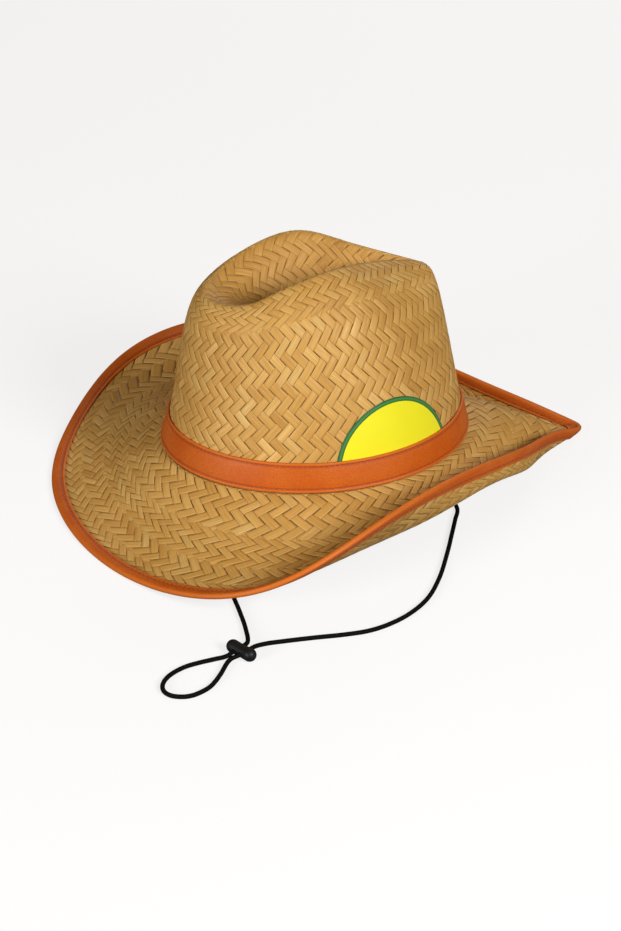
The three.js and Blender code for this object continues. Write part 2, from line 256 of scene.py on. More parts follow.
EDGE_STATIONS = table(EdgeStation, (
    (0, -183.3, 2.4, -32, -4), (80.5, -167, 2.6, -30, -2), (138, -131, 12, -28, 8), (166, -84, 33, -28, 38),
    (148, -16, 52, -26, 58), (99, 63, 45.5, -25, 100), (53, 120, 27, -19, 96), (25, 151, 16.5, -15, 84),
    (9.5, 173, 7.4, -11, 76), (0, 182, 4.2, -8, 50),
))
ROOT_REACH = (0.5, 0.44, 0.7, 0.7, 0.5)
RIM_REACH = (0.55, 0.3, 0.88, 0.57, 0.16)
EDGE_LAG = (0, 4, 8, 16, 25, 21, 0)
TOP_STATIONS = table(TopStation, (
    (0, -83.5, 141, -50, 131), (25, -70, 144, -43, 129), (33, -51, 152, -28, 122),
    (34.5, -19, 162, -10, 117), (22, 10, 159, 16, 122), (4, 45, 149, 38, 133.5), (0, 63, 143, 46, 136.5),
))
WALL_STATIONS = table(WallStation, (
    (19, 0.4, 0.59, 8), (11.5, 0.48, 0.53, 16.5), (15.5, 0.53, 0.53, 9),
))


@dataclass(frozen=True)
class Curve:
    """A smooth value round the hat, mirrored left to right, from a few at equal angles."""

    sizes: Points
    sine: bool

    @classmethod
    def even(cls, values: Sequence[float]) -> "Curve":
        """Makes a curve that is level at the front and the back.

        Args:
            values: The values from the front (0 degrees) to the back (180).

        Returns:
            The curve through them.
        """
        last = len(values) - 1
        steps = np.arange(last + 1)
        ends = np.where((steps == 0) | (steps == last), 0.5, 1.0)
        table = np.cos(math.pi * np.outer(steps, steps) / last)
        return cls(2 / last * ends * (table @ (ends * np.array(values, float))), False)

    @classmethod
    def odd(cls, values: Sequence[float]) -> "Curve":
        """Makes a half width, which is zero at the front and the back.

        Args:
            values: The values from the front to the back, zero at both.

        Returns:
            The curve through them.
        """
        last = len(values) - 1
        steps = np.arange(last + 1)
        table = np.sin(math.pi * np.outer(steps, steps) / last)
        return cls(2 / last * (table @ np.array(values, float)), True)

    def at(self, angle: Points) -> Points:
        """Reads the curve at angles in radians from the front."""
        wave = np.sin if self.sine else np.cos
        return wave(np.multiply.outer(angle, np.arange(len(self.sizes)))) @ self.sizes


def column(rows: Sequence[object], name: str) -> list[float]:
    """Reads one named column of a table of stations."""
    return [getattr(row, name) for row in rows]


def curves(rows: Sequence[object]) -> dict[str, Curve]:
    """Makes a curve of each column of a table of stations.

    Args:
        rows: The stations, of which half_width is zero at both ends.

    Returns:
        The curves by their columns' names.
    """
    made = {}
    for item in fields(rows[0]):
        kind = Curve.odd if item.name == "half_width" else Curve.even
        made[item.name] = kind(column(rows, item.name))
    return made


def spots_of(named: dict[str, Curve], angle: Points) -> Points:
    """Reads the points of a line that runs round the hat."""
    return np.stack([named[name].at(angle) for name in ("half_width", "along", "height")], -1)


def unit(vectors: Points) -> Points:
    """Scales vectors to length one."""
    return vectors / np.maximum(np.linalg.norm(vectors, axis=-1, keepdims=True), 1e-9)


def bezier(corners: Sequence[Points], share: Points) -> Points:
    """Reads cubic Bezier sections at a share of their length.

    Args:
        corners: The four control points of each section.
        share: The share, from 0 to 1.

    Returns:
        One point for each share.
    """
    t = share[..., None]
    weights = ((1 - t) ** 3, 3 * t * (1 - t) ** 2, 3 * t**2 * (1 - t), t**3)
    return sum(weight * corner for weight, corner in zip(weights, corners))


def tilted(level: Points, slope: Points, length: Points) -> Points:
    """Makes steps along level directions, tilted up.

    Args:
        level: Level unit directions.
        slope: The tilt in degrees.
        length: The steps' lengths.

    Returns:
        The steps.
    """
    tilt = np.radians(slope)
    step = level * (length * np.cos(tilt))[..., None]
    step[..., 2] = length * np.sin(tilt)
    return step


@dataclass(frozen=True)
class Skin:
    """The straw's outer face: the crown's wall and crease, and the brim's upper side."""

    half_width: float = 86.5
    half_length: float = 101.5
    along: float = -10.3
    base_height: float = 36.0
    crease_top_reach: float = 0.36
    crease_floor_reach: float = 0.35
    edge: dict[str, Curve] = field(default_factory=dict)
    top: dict[str, Curve] = field(default_factory=dict)
    wall: dict[str, Curve] = field(default_factory=dict)

    @classmethod
    def shaped(cls) -> "Skin":
        """Makes the skin from the tables of stations.

        Returns:
            The skin.
        """
        reaches = {"root_reach": Curve.even(ROOT_REACH), "rim_reach": Curve.even(RIM_REACH)}
        edge = {**curves(EDGE_STATIONS), **reaches, "lag": Curve.odd(EDGE_LAG)}
        return cls(edge=edge, top=curves(TOP_STATIONS), wall=curves(WALL_STATIONS))

    @property
    def mean_radius(self) -> float:
        """The head opening's mean radius."""
        return (self.half_width + self.half_length) / 2

    def base(self, angle: Points) -> Points:
        """Points of the head opening at angles from the front.

        Args:
            angle: The angles from the front, in radians.

        Returns:
            The points.
        """
        y = self.along - self.half_length * np.cos(angle)
        height = np.full_like(angle, self.base_height)
        return np.stack([self.half_width * np.sin(angle), y, height], -1)

    def brim_corners(self, angle: Points) -> list[Points]:
        """The brim sections' control points, from the head opening to the edge.

        Args:
            angle: The angles from the front, in radians.

        Returns:
            The four control points of each section.
        """
        root = self.base(angle)
        station = angle - np.radians(self.edge["lag"].at(angle))
        rim = spots_of(self.edge, station)
        chord = np.linalg.norm(rim - root, axis=-1)
        outwards = unit((rim - root) * (1, 1, 0))
        root_step = chord * self.edge["root_reach"].at(station)
        rim_step = chord * self.edge["rim_reach"].at(station)
        first = root + tilted(outwards, self.edge["root_slope"].at(station), root_step)
        second = rim - tilted(outwards, self.edge["rim_slope"].at(station), rim_step)
        return [root, first, second, rim]

    def brim(self, angle: Points, share: Points) -> Points:
        """Points of the brim, from the head opening (0) to the edge (1)."""
        angle, share = np.broadcast_arrays(np.asarray(angle, float), share)
        return bezier(self.brim_corners(angle), share)

    def share_from_edge(self, angle: Points, distance: Points) -> Points:
        """The brim's shares that lie a distance in from the edge."""
        _, _, second, rim = self.brim_corners(angle)
        return 1 - distance / (3 * np.linalg.norm(rim - second, axis=-1))

    def fold(self, angle: Points) -> Points:
        """Points of the fold round the crown's top."""
        return spots_of(self.top, angle)

    def crown(self, angle: Points, share: Points) -> Points:
        """Points of the crown: the wall from 0 to 1, and the crease's side from 1 to 2.

        Args:
            angle: The angles from the front, in radians.
            share: The shares of the section.

        Returns:
            The points.
        """
        angle, share = np.broadcast_arrays(np.asarray(angle, float), share)
        root = self.base(angle)
        fold = self.fold(angle)
        span = np.linalg.norm((fold - root)[..., :2], axis=-1)
        inwards = unit((fold - root) * (1, 1, 0))
        rise = (fold - root)[..., 2] * self.wall["rise_reach"].at(angle)
        first = root + tilted(inwards, 90 - self.wall["lean"].at(angle), rise)
        top_step = span * self.wall["top_reach"].at(angle)
        second = fold - tilted(inwards, self.wall["top_slope"].at(angle), top_step)
        wall = bezier([root, first, second, fold], np.clip(share, 0, 1))
        names = ("crease_along", "crease_height")
        floor = np.stack([0 * angle, *(self.top[name].at(angle) for name in names)], -1)
        across = (floor - fold) * (1, 1, 0)
        upper = fold + self.crease_top_reach * across
        lower = floor - self.crease_floor_reach * across
        crease = bezier([fold, upper, lower, floor], np.clip(share - 1, 0, 1))
        return np.where(share[..., None] > 1, crease, wall)

    def crown_spot(self, angle: Points, share: Points) -> tuple[Points, Points]:
        """Points of the crown and their outward normals.

        Args:
            angle: The angles from the front, in radians.
            share: The shares of the section.

        Returns:
            The points and the normals.
        """
        angle, share = np.broadcast_arrays(np.asarray(angle, float), np.asarray(share, float))
        near = np.clip(share, 0, NEAR_SEAM)
        normal = surface_normal(self.crown, angle, near, (0, NEAR_SEAM))
        normal[..., 0] = np.where(share > AT_SEAM, 0, normal[..., 0])
        return self.crown(angle, share), unit(normal)

    def brim_spot(self, angle: Points, share: Points) -> tuple[Points, Points]:
        """Points of the brim and their upward normals."""
        angle, share = np.broadcast_arrays(np.asarray(angle, float), np.asarray(share, float))
        return self.brim(angle, share), -surface_normal(self.brim, angle, share, (0, 1))

    def edge_spot(self, angle: Points, distance: float) -> tuple[Points, Points]:
        """Points a distance in from the brim's edge, and their upward normals."""
        return self.brim_spot(angle, self.share_from_edge(angle, distance))

    def wall_spot(self, angle: Points, height: Points) -> tuple[Points, Points]:
        """Points of the crown's wall at heights over the head opening, and their normals.

        Args:
            angle: The angles from the front, in radians.
            height: The heights.

        Returns:
            The points and the normals.
        """
        angle, height = np.broadcast_arrays(np.asarray(angle, float), np.asarray(height, float))
        low = np.zeros_like(angle)
        high = np.full_like(angle, WALL_LIMIT)
        for _ in range(HALVINGS):
            middle = (low + high) / 2
            under = self.crown(angle, middle)[..., 2] < self.base_height + height
            low = np.where(under, middle, low)
            high = np.where(under, high, middle)
        return self.crown_spot(angle, high)


Surface = Callable[[Points, Points], Points]


def surface_normal(surface: Surface, angle: Points, share: Points, limits: tuple) -> Points:
    """Finds a surface's normals from nearby points.

    Args:
        surface: The surface, read at an angle and a share.
        angle: The angles in radians.
        share: The shares of the section.
        limits: The lowest and highest share.

    Returns:
        The unit normals, which point outwards on the crown.
    """
    nudge = 0.002
    up = surface(angle, np.minimum(share + nudge, limits[1]))
    up = up - surface(angle, np.maximum(share - nudge, limits[0]))
    round_ = surface(angle + nudge, share) - surface(angle - nudge, share)
    return unit(np.cross(round_, up))


# Mesh helpers


def placed(name: str, data: object) -> Object:
    """Makes an object in the scene.

    Args:
        name: Its name.
        data: Its mesh, curve, camera or light.

    Returns:
        The object.
    """
    obj = bpy.data.objects.new(name, data)
    bpy.context.scene.collection.objects.link(obj)
    return obj


def aimed(obj: Object, place: Vector, way: Vector) -> None:
    """Sets a camera or a light in its place.

    Args:
        obj: The camera or light.
        place: Its place in metres.
        way: The way that it looks.
    """
    obj.location = place
    obj.rotation_mode = "QUATERNION"
    obj.rotation_quaternion = way.to_track_quat("-Z", "Y")


def shown_mesh(obj: Object) -> Mesh:
    """Copies the mesh that an object's modifiers give."""
    shown = obj.evaluated_get(bpy.context.evaluated_depsgraph_get())
    return bpy.data.meshes.new_from_object(shown)


def edited(obj: Object, edit: Callable[[bmesh.types.BMesh], object]) -> None:
    """Changes an object's mesh.

    Args:
        obj: The object.
        edit: The change, which is given the mesh to edit.
    """
    build = bmesh.new()
    build.from_mesh(obj.data)
    edit(build)
    build.to_mesh(obj.data)
    build.free()


def faced_out(obj: Object) -> None:
    """Turns a closed mesh's faces outwards."""
    edited(obj, lambda build: bmesh.ops.recalc_face_normals(build, faces=build.faces))


def finished(obj: Object, material: Material, node: str | None = None) -> Object:
    """Gives a piece its material, and says which solid it stands for.

    Args:
        obj: The piece.
        material: Its material.
        node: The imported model's solid that it replaces, if any.

    Returns:
        The piece.
    """
    obj.data.materials.append(material)
    if node:
        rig.replaces(obj, node)
    return obj


def even_angles(count: int) -> Points:
    """Even angles round a whole turn, in radians."""
    return np.arange(count) * TURN / count


def mesh_object(name: str, points: Points, faces: Sequence, smooth: bool = True) -> Object:
    """Makes a mesh object with its place in its mesh.

    Args:
        name: The piece's name.
        points: The vertices in millimetres, in any array that ends in three numbers.
        faces: The faces' corners.
        smooth: Whether the faces are shaded smooth.

    Returns:
        The object, in the scene.
    """
    mesh = bpy.data.meshes.new(name)
    mesh.from_pydata((np.reshape(points, (-1, 3)) * MM).tolist(), [], [list(f) for f in faces])
    mesh.polygons.foreach_set("use_smooth", [smooth] * len(mesh.polygons))
    mesh.update()
    return placed(name, mesh)


def grid_faces(rows: int, columns: int, round_: bool = False, tube: bool = False) -> Points:
    """Makes the quads of a grid of points that is stored row by row.

    Args:
        rows: The number of rows of points.
        columns: The points in a row.
        round_: Whether the last row joins the first.
        tube: Whether each row's last point joins its first.

    Returns:
        The faces, whose normals point along the cross product of columns and rows.
    """
    i, j = np.meshgrid(
        np.arange(rows if round_ else rows - 1),
        np.arange(columns if tube else columns - 1),
        indexing="ij",
    )
    i, j = i.ravel(), j.ravel()
    above, beside = (i + 1) % rows, (j + 1) % columns
    corners = [i * columns + j, i * columns + beside, above * columns + beside, above * columns + j]
    return np.stack(corners, -1)


def capped_tube(rings: int, sides: int) -> list[list[int]]:
    """Makes the faces of a tube of rings that is closed at both ends.

    Args:
        rings: The number of rings.
        sides: The points in a ring.

    Returns:
        The faces.
    """
    faces = [list(face) for face in grid_faces(rings, sides, False, True)]
    last = (rings - 1) * sides
    return [*faces, list(range(sides))[::-1], list(range(last, last + sides))]


def set_vectors(obj: Object, name: str, values: Points) -> None:
    """Stores a vector at each vertex under a name that the materials read.

    Args:
        obj: The piece.
        name: The attribute's name.
        values: One vector for each vertex.
    """
    attribute = obj.data.attributes.new(name, "FLOAT_VECTOR", "POINT")
    attribute.data.foreach_set("vector", np.asarray(values, np.float32).ravel())


def lofted_ring(
    name: str, spots: Sequence[tuple[Points, Points]], lifts: Sequence[float], floor: float | None = None
) -> tuple[Object, Points]:
    """Makes a closed ring from a loop of lines that run round the hat.

    Args:
        name: The piece's name.
        spots: For each corner of the section, its points and normals round the hat.
        lifts: How far each corner stands off along the normals.
        floor: The lowest height that a point may have, or None.

    Returns:
        The ring and its points, round the hat and then round the section.
    """
    lines = [points + lift * normals for (points, normals), lift in zip(spots, lifts)]
    loops = np.stack(lines, 1)
    if floor is not None:
        loops[..., 2] = np.maximum(loops[..., 2], floor)
    count, size = loops.shape[:2]
    obj = mesh_object(name, loops, grid_faces(count, size, True, True))
    return obj, loops


def arc_lengths(points: Points) -> Points:
    """The running length along a line of points, from 0 at the first."""
    steps = np.linalg.norm(np.diff(points, axis=0), axis=-1)
    return np.concatenate([[0], np.cumsum(steps)])


def joined(name: str, parts: Sequence[Object]) -> Object:
    """Joins meshes into one piece.

    Args:
        name: The new piece's name.
        parts: The meshes, of which the first takes in the rest.

    Returns:
        The piece.
    """
    with bpy.context.temp_override(active_object=parts[0], selected_editable_objects=list(parts)):
        bpy.ops.object.join()
    parts[0].name = name
    parts[0].data.name = name
    return parts[0]


# Node helpers


@dataclass
class Nodes:
    """A node tree being built, left to right."""

    tree: NodeTree
    count: int = 0

    def add(self, kind: str, settings: dict | None = None, **inputs: object) -> Node:
        """Adds a node, sets it up and links its inputs.

        Args:
            kind: The node's type name.
            settings: Its properties.
            **inputs: Its inputs by name, with _ for a space, or inN for input N. A socket is
                linked, and anything else is set as the default value.

        Returns:
            The node.
        """
        node = self.tree.nodes.new(kind)
        node.location = (180 * self.count, -60 * (self.count % 4))
        self.count += 1
        for name, value in (settings or {}).items():
            setattr(node, name, value)
        for name, value in inputs.items():
            numbered = name[:2] == "in" and name[2:].isdigit()
            socket = node.inputs[int(name[2:]) if numbered else name.replace("_", " ")]
            if isinstance(value, NodeSocket):
                self.tree.links.new(value, socket)
            else:
                socket.default_value = value
        return node

    def one(self, kind: str, **inputs: object) -> NodeSocket:
        """Adds a node with its settings as they come, and gives its first output."""
        return self.add(kind, None, **inputs).outputs[0]

    def math(self, operation: str, *values: object) -> NodeSocket:
        """Adds a Math node and gives its result."""
        inputs = {f"in{i}": value for i, value in enumerate(values)}
        return self.add("ShaderNodeMath", {"operation": operation}, **inputs).outputs[0]

    def join(self, x: object = 0.0, y: object = 0.0, z: object = 0.0) -> NodeSocket:
        """Adds a vector made of three numbers."""
        return self.one("ShaderNodeCombineXYZ", in0=x, in1=y, in2=z)

    def split(self, vector: object) -> Sequence[NodeSocket]:
        """Adds the three numbers of a vector."""
        return self.add("ShaderNodeSeparateXYZ", None, in0=vector).outputs

    def scaled(self, vector: object, scale: object) -> NodeSocket:
        """Adds a vector times a number."""
        return self.add("ShaderNodeVectorMath", {"operation": "SCALE"}, in0=vector, Scale=scale).outputs[0]

    def noise(self, place: object, scale: object, detail: float) -> Sequence[NodeSocket]:
        """Adds noise, as a value and as a vector."""
        return self.add("ShaderNodeTexNoise", None, Vector=place, Scale=scale, Detail=detail).outputs

    def ease(self, value: object, start: float, stop: float, low: float = 0.0, high: float = 1.0) -> object:
        """Adds a smooth step of a value.

        Args:
            value: The socket that is stepped.
            start: Where the step begins.
            stop: Where it ends.
            low: The result before it.
            high: The result after it.

        Returns:
            The result's socket.
        """
        settings = {"interpolation_type": "SMOOTHSTEP"}
        ends = {"in1": start, "in2": stop, "in3": low, "in4": high}
        return self.add("ShaderNodeMapRange", settings, in0=value, **ends).outputs[0]

    def mix(self, share: object, first: object, second: object, blend: str = "MIX") -> object:
        """Adds a colour mix.

        Args:
            share: The second colour's share.
            first: A colour or its socket.
            second: A colour or its socket.
            blend: The way they blend.

        Returns:
            The mixed colour's socket.
        """
        settings = {"data_type": "RGBA", "blend_type": blend, "clamp_factor": True}
        colours = [(*c, 1.0) if isinstance(c, tuple) and len(c) == 3 else c for c in (first, second)]
        node = self.add("ShaderNodeMix", settings, in0=share, in6=colours[0], in7=colours[1])
        return node.outputs[2]

    def ramp(self, value: object, stops: Sequence[tuple[float, Colour]]) -> NodeSocket:
        """Adds a colour ramp.

        Args:
            value: The socket that drives it.
            stops: Places from 0 to 1 and their colours.

        Returns:
            The colour's socket.
        """
        node = self.add("ShaderNodeValToRGB", None, in0=value)
        elements = node.color_ramp.elements
        while len(elements) < len(stops):
            elements.new(1.0)
        for element, (place, colour) in zip(elements, stops):
            element.position = place
            element.color = (*colour, 1.0)
        return node.outputs[0]

    def shown_to_camera(self, lit: object, seen: object, output: str) -> None:
        """Shows the camera one shader, while the light meets another.

        Args:
            lit: The shader that the light meets.
            seen: The shader that the camera sees.
            output: The name of the tree's output node.
        """
        camera = self.add("ShaderNodeLightPath").outputs["Is Camera Ray"]
        shown = self.add("ShaderNodeMixShader", None, in0=camera, in1=lit, in2=seen)
        self.tree.links.new(shown.outputs[0], self.tree.nodes[output].inputs["Surface"])


def sockets(tree: NodeTree, **kinds: tuple[str, str, float | None]) -> None:
    """Names a node group's inputs and outputs.

    Args:
        tree: The group.
        **kinds: For each name, with _ for a space, IN or OUT, the socket's type and its value.
    """
    for name, (way, kind, value) in kinds.items():
        side = {"IN": "INPUT", "OUT": "OUTPUT"}[way]
        socket = tree.interface.new_socket(name.replace("_", " "), in_out=side, socket_type=kind)
        if value is not None:
            socket.default_value = value


FLOAT, VECTOR, GEOMETRY = "NodeSocketFloat", "NodeSocketVector", "NodeSocketGeometry"


def shader_group(name: str, **kinds: tuple[str, str, float | None]) -> tuple[Nodes, object]:
    """Starts a shader node group.

    Args:
        name: The group's name.
        **kinds: Its inputs and outputs, as in sockets.

    Returns:
        The group's nodes and its input's outputs.
    """
    tree = bpy.data.node_groups.new(name, "ShaderNodeTree")
    sockets(tree, **kinds)
    n = Nodes(tree)
    return n, n.add("NodeGroupInput").outputs


def streak_group() -> NodeTree:
    """Makes the fine lines that run along a strip of leaf.

    Returns:
        A group that turns a place on the strip, in millimetres, into a streak mask and a height.
    """
    n, given = shader_group(
        "leaf_streaks",
        Place=("IN", VECTOR, None),
        Strip=("IN", FLOAT, 0.0),
        Streak=("OUT", FLOAT, None),
        Height=("OUT", FLOAT, None),
    )
    part = n.split(given["Place"])
    stretch, strip_step = 0.05, 57.0
    along = n.math("MULTIPLY", part[0], stretch)
    place = n.join(along, part[1], n.math("MULTIPLY", given["Strip"], strip_step))
    fine = n.noise(place, 3.4, 3.0)[0]
    broad = n.noise(place, 0.9, 1.0)[0]
    streak = n.math("MULTIPLY_ADD", broad, 0.5, n.math("MULTIPLY", fine, 0.5))
    n.add("NodeGroupOutput", None, Streak=n.ease(streak, 0.34, 0.66), Height=fine)
    return n.tree


def mottle_group() -> NodeTree:
    """Makes slow changes of tone over a piece, as from drying, handling or dust.

    Returns:
        A group that turns a place in metres into a soft mask and a speckle mask.
    """
    n, given = shader_group(
        "slow_mottle",
        Place=("IN", VECTOR, None),
        Patches=("IN", FLOAT, 40.0),
        Specks=("IN", FLOAT, 900.0),
        Patch=("OUT", FLOAT, None),
        Speck=("OUT", FLOAT, None),
    )
    patch = n.ease(n.noise(given["Place"], given["Patches"], 2.0)[0], 0.35, 0.65)
    speck = n.ease(n.noise(given["Place"], given["Specks"], 2.0)[0], 0.55, 0.75)
    n.add("NodeGroupOutput", None, Patch=patch, Speck=speck)
    return n.tree


def grain_group() -> NodeTree:
    """Makes the embossed grain of vinyl sheet.

    Returns:
        A group that turns a place in metres into a height and a mask of the grain's valleys.
    """
    n, given = shader_group(
        "vinyl_grain",
        Place=("IN", VECTOR, None),
        Cells=("IN", FLOAT, 900.0),
        Height=("OUT", FLOAT, None),
        Valley=("OUT", FLOAT, None),
    )
    bend = n.scaled(n.noise(given["Place"], 500.0, 1.0)[1], 0.0012)
    place = n.one("ShaderNodeVectorMath", in0=given["Place"], in1=bend)
    edges = {"feature": "DISTANCE_TO_EDGE"}
    cells = n.add("ShaderNodeTexVoronoi", edges, Vector=place, Scale=given["Cells"]).outputs[0]
    pebble = n.ease(cells, 0.02, 0.28)
    creases = n.noise(place, 260.0, 4.0)[0]
    height = n.math("MULTIPLY_ADD", creases, 0.6, n.math("MULTIPLY", pebble, 0.4))
    n.add("NodeGroupOutput", None, Height=height, Valley=n.math("SUBTRACT", 1.0, pebble))
    return n.tree


@dataclass
class Groups:
    """The shader groups that several finishes use, each built once."""

    streaks: NodeTree = field(default_factory=streak_group)
    mottle: NodeTree = field(default_factory=mottle_group)
    grain: NodeTree = field(default_factory=grain_group)


@dataclass
class Look:
    """The nodes of a material that is being built."""

    n: Nodes
    shader: Node
    groups: Groups

    def attribute(self, name: str, output: str = "Vector") -> NodeSocket:
        """Reads one of the piece's own attributes."""
        return self.n.add("ShaderNodeAttribute", {"attribute_name": name}).outputs[output]

    def group(self, tree: NodeTree, place: object = None, **values: object) -> object:
        """Adds a shared group.

        Args:
            tree: The group.
            place: Where it is read, or None for the Object coordinates.
            **values: Its other inputs.

        Returns:
            Its outputs.
        """
        if place is None:
            place = self.n.add("ShaderNodeTexCoord").outputs["Object"]
        return self.n.add("ShaderNodeGroup", {"node_tree": tree}, Place=place, **values).outputs

    def feed(self, **inputs: object) -> None:
        """Links sockets to the shader's inputs, named with _ for a space."""
        for name, socket in inputs.items():
            self.n.tree.links.new(socket, self.shader.inputs[name.replace("_", " ")])

    def bump(self, height: object, distance: float, strength: float = 1.0) -> None:
        """Adds a bump.

        Args:
            height: The height's socket.
            distance: The height's scale in metres.
            strength: How strong the bump is.
        """
        bump = self.n.add("ShaderNodeBump", None, Strength=strength, Distance=distance, Height=height)
        self.feed(Normal=bump.outputs[0])


@dataclass(frozen=True)
class Finish:
    """A surface finish: its name and the numbers that are the same all over it."""

    name: str
    roughness: float = 0.5
    specular: float = 0.5
    sheen: float = 0.0
    coat: float = 0.0

    def material(self, groups: Groups) -> Material:
        """Builds the material.

        Args:
            groups: The shared shader groups.

        Returns:
            The material.
        """
        material = bpy.data.materials.new(self.name)
        material.use_nodes = True
        shader = material.node_tree.nodes["Principled BSDF"]
        shader.inputs["Roughness"].default_value = self.roughness
        shader.inputs["Specular IOR Level"].default_value = self.specular
        shader.inputs["Sheen Weight"].default_value = self.sheen
        shader.inputs["Coat Weight"].default_value = self.coat
        self.dress(Look(Nodes(material.node_tree), shader, groups))
        return material

    def dress(self, look: Look) -> None:
        """Adds what varies over the surface, which each finish does in its own way."""
        raise NotImplementedError


@dataclass(frozen=True)
class StrawFinish(Finish):
    """Dried palm leaf in woven strips, each with its own tone and fine lines along it."""

    name: str = "palm_straw"
    roughness: float = 0.5
    specular: float = 0.3
    half_length: float = 6.0
    half_width: float = 3.0
    tones: tuple[tuple[float, Colour], ...] = (
        (0.0, (0.330, 0.150, 0.028)),
        (0.15, (0.450, 0.222, 0.045)),
        (0.45, (0.575, 0.306, 0.070)),
        (0.75, (0.655, 0.375, 0.102)),
        (1.0, (0.760, 0.475, 0.160)),
    )
    green: Colour = (0.40, 0.30, 0.10)
    # The gap colour is painted shade where the floats meet and tuck under their neighbours.
    gap: Colour = (0.085, 0.036, 0.007)
    strip_share: float = 0.30
    own_share: float = 0.30
    mottle_share: float = 0.14
    streak_share: float = 0.34
    green_share: float = 0.14
    least_gap: float = 0.36
    own_gap: float = 0.36
    strip_gap: float = 0.32
    end_shade: tuple[float, float] = (0.98, 1.14)
    side_shade: tuple[float, float] = (0.88, 0.96)

    def dress(self, look: Look) -> None:
        """Adds the strips' tones, their fine lines and painted shade along their ends and sides.

        Args:
            look: The material's nodes.
        """
        n = look.n
        leaf = look.attribute("leaf")
        strip = look.attribute("strip_tone", "Fac")
        own = look.attribute("float_tone", "Fac")
        size = (self.half_length, self.half_width, 1.0)
        scaled = n.add("ShaderNodeVectorMath", {"operation": "MULTIPLY"}, in0=leaf, in1=size).outputs[0]
        streaks = look.group(look.groups.streaks, scaled, Strip=strip)
        mottle = look.group(look.groups.mottle, Patches=28.0)
        tone = n.math("MULTIPLY_ADD", strip, self.strip_share, n.math("MULTIPLY", own, self.own_share))
        tone = n.math("MULTIPLY_ADD", mottle["Patch"], self.mottle_share, tone)
        tone = n.math("MULTIPLY_ADD", streaks["Streak"], self.streak_share, tone)
        colour = n.ramp(tone, self.tones)
        greenish = n.math("MULTIPLY", n.ease(own, 0.86, 0.98), self.green_share)
        colour = n.mix(greenish, colour, self.green)
        # Painted shade: each float darkens towards its ends and sides, as in its neighbours' shadow.
        part = n.split(leaf)
        end = n.ease(n.math("ABSOLUTE", part[0]), *self.end_shade)
        side = n.ease(n.math("ABSOLUTE", part[1]), *self.side_shade)
        uneven = n.math("MULTIPLY_ADD", own, self.own_gap, self.least_gap)
        uneven = n.math("MULTIPLY_ADD", strip, self.strip_gap, uneven)
        shade = n.math("MULTIPLY", n.math("MAXIMUM", end, side), uneven)
        look.feed(Base_Color=n.mix(shade, colour, self.gap))
        look.feed(Roughness=n.ease(streaks["Streak"], 0.0, 1.0, 0.62, 0.45))
        look.bump(streaks["Height"], 0.00018, 0.55)


@dataclass(frozen=True)
class StrawCoreFinish(Finish):
    """The straw that shows in the gaps between the strips, coloured dark as painted shade."""

    name: str = "straw_core"
    roughness: float = 0.8
    specular: float = 0.2
    # Both tones are painted shade, dark so that the gaps between the strips look shaded.
    dark: Colour = (0.10, 0.045, 0.010)
    light: Colour = (0.20, 0.10, 0.025)

    def dress(self, look: Look) -> None:
        """Adds soft changes of tone to the painted shade.

        Args:
            look: The material's nodes.
        """
        mottle = look.group(look.groups.mottle, Patches=300.0)
        look.feed(Base_Color=look.n.mix(mottle["Patch"], self.dark, self.light))
        look.bump(mottle["Speck"], 0.0002)


@dataclass(frozen=True)
class VinylFinish(Finish):
    """Orange vinyl with a fine embossed grain and a satin shine."""

    name: str = "orange_vinyl"
    roughness: float = 0.46
    specular: float = 0.25
    base: Colour = (0.60, 0.116, 0.007)
    # This light colour is used for patches of wear and for painted highlights on the raised edges.
    worn: Colour = (0.74, 0.195, 0.022)
    # This dark colour marks the grain's valleys and paints shade in the sewn grooves.
    deep: Colour = (0.36, 0.052, 0.004)
    patch_share: float = 0.35
    valley_share: float = 0.4
    groove_share: float = 0.9
    ridge_share: float = 0.45
    pucker: float = 0.5

    def dress(self, look: Look) -> None:
        """Adds the grain, patches of wear, painted shade in the sewn grooves and painted highlights on the raised
        edges.

        Args:
            look: The material's nodes.
        """
        n = look.n
        grain = look.group(look.groups.grain)
        mottle = look.group(look.groups.mottle)
        part = n.split(look.attribute("trim"))
        colour = n.mix(n.math("MULTIPLY", mottle["Patch"], self.patch_share), self.base, self.worn)
        colour = n.mix(n.math("MULTIPLY", grain["Valley"], self.valley_share), colour, self.deep)
        # Painted shade darkens the sewn grooves.
        colour = n.mix(n.math("MULTIPLY", part[1], self.groove_share), colour, self.deep)
        # A painted highlight lightens the raised edges.
        colour = n.mix(n.math("MULTIPLY", part[2], self.ridge_share), colour, self.worn)
        look.feed(Base_Color=colour, Roughness=n.ease(grain["Height"], 0.2, 0.8, 0.52, 0.36))
        pucker = n.math("SINE", n.math("MULTIPLY", part[0], TURN / SeamPlan.pitch))
        pucker = n.math("MULTIPLY", n.math("MULTIPLY", pucker, part[1]), self.pucker)
        look.bump(n.math("ADD", grain["Height"], pucker), 0.00022, 0.6)


@dataclass(frozen=True)
class ThreadFinish(Finish):
    """Polyester sewing thread."""

    name: str = "orange_thread"
    roughness: float = 0.6
    sheen: float = 0.3
    base: Colour = (0.30, 0.050, 0.008)
    light: Colour = (0.48, 0.095, 0.016)

    def dress(self, look: Look) -> None:
        """Adds the thread's fine changes of tone.

        Args:
            look: The material's nodes.
        """
        mottle = look.group(look.groups.mottle, Patches=1500.0)
        look.feed(Base_Color=look.n.mix(mottle["Patch"], self.base, self.light))
        look.bump(mottle["Patch"], 0.0001)


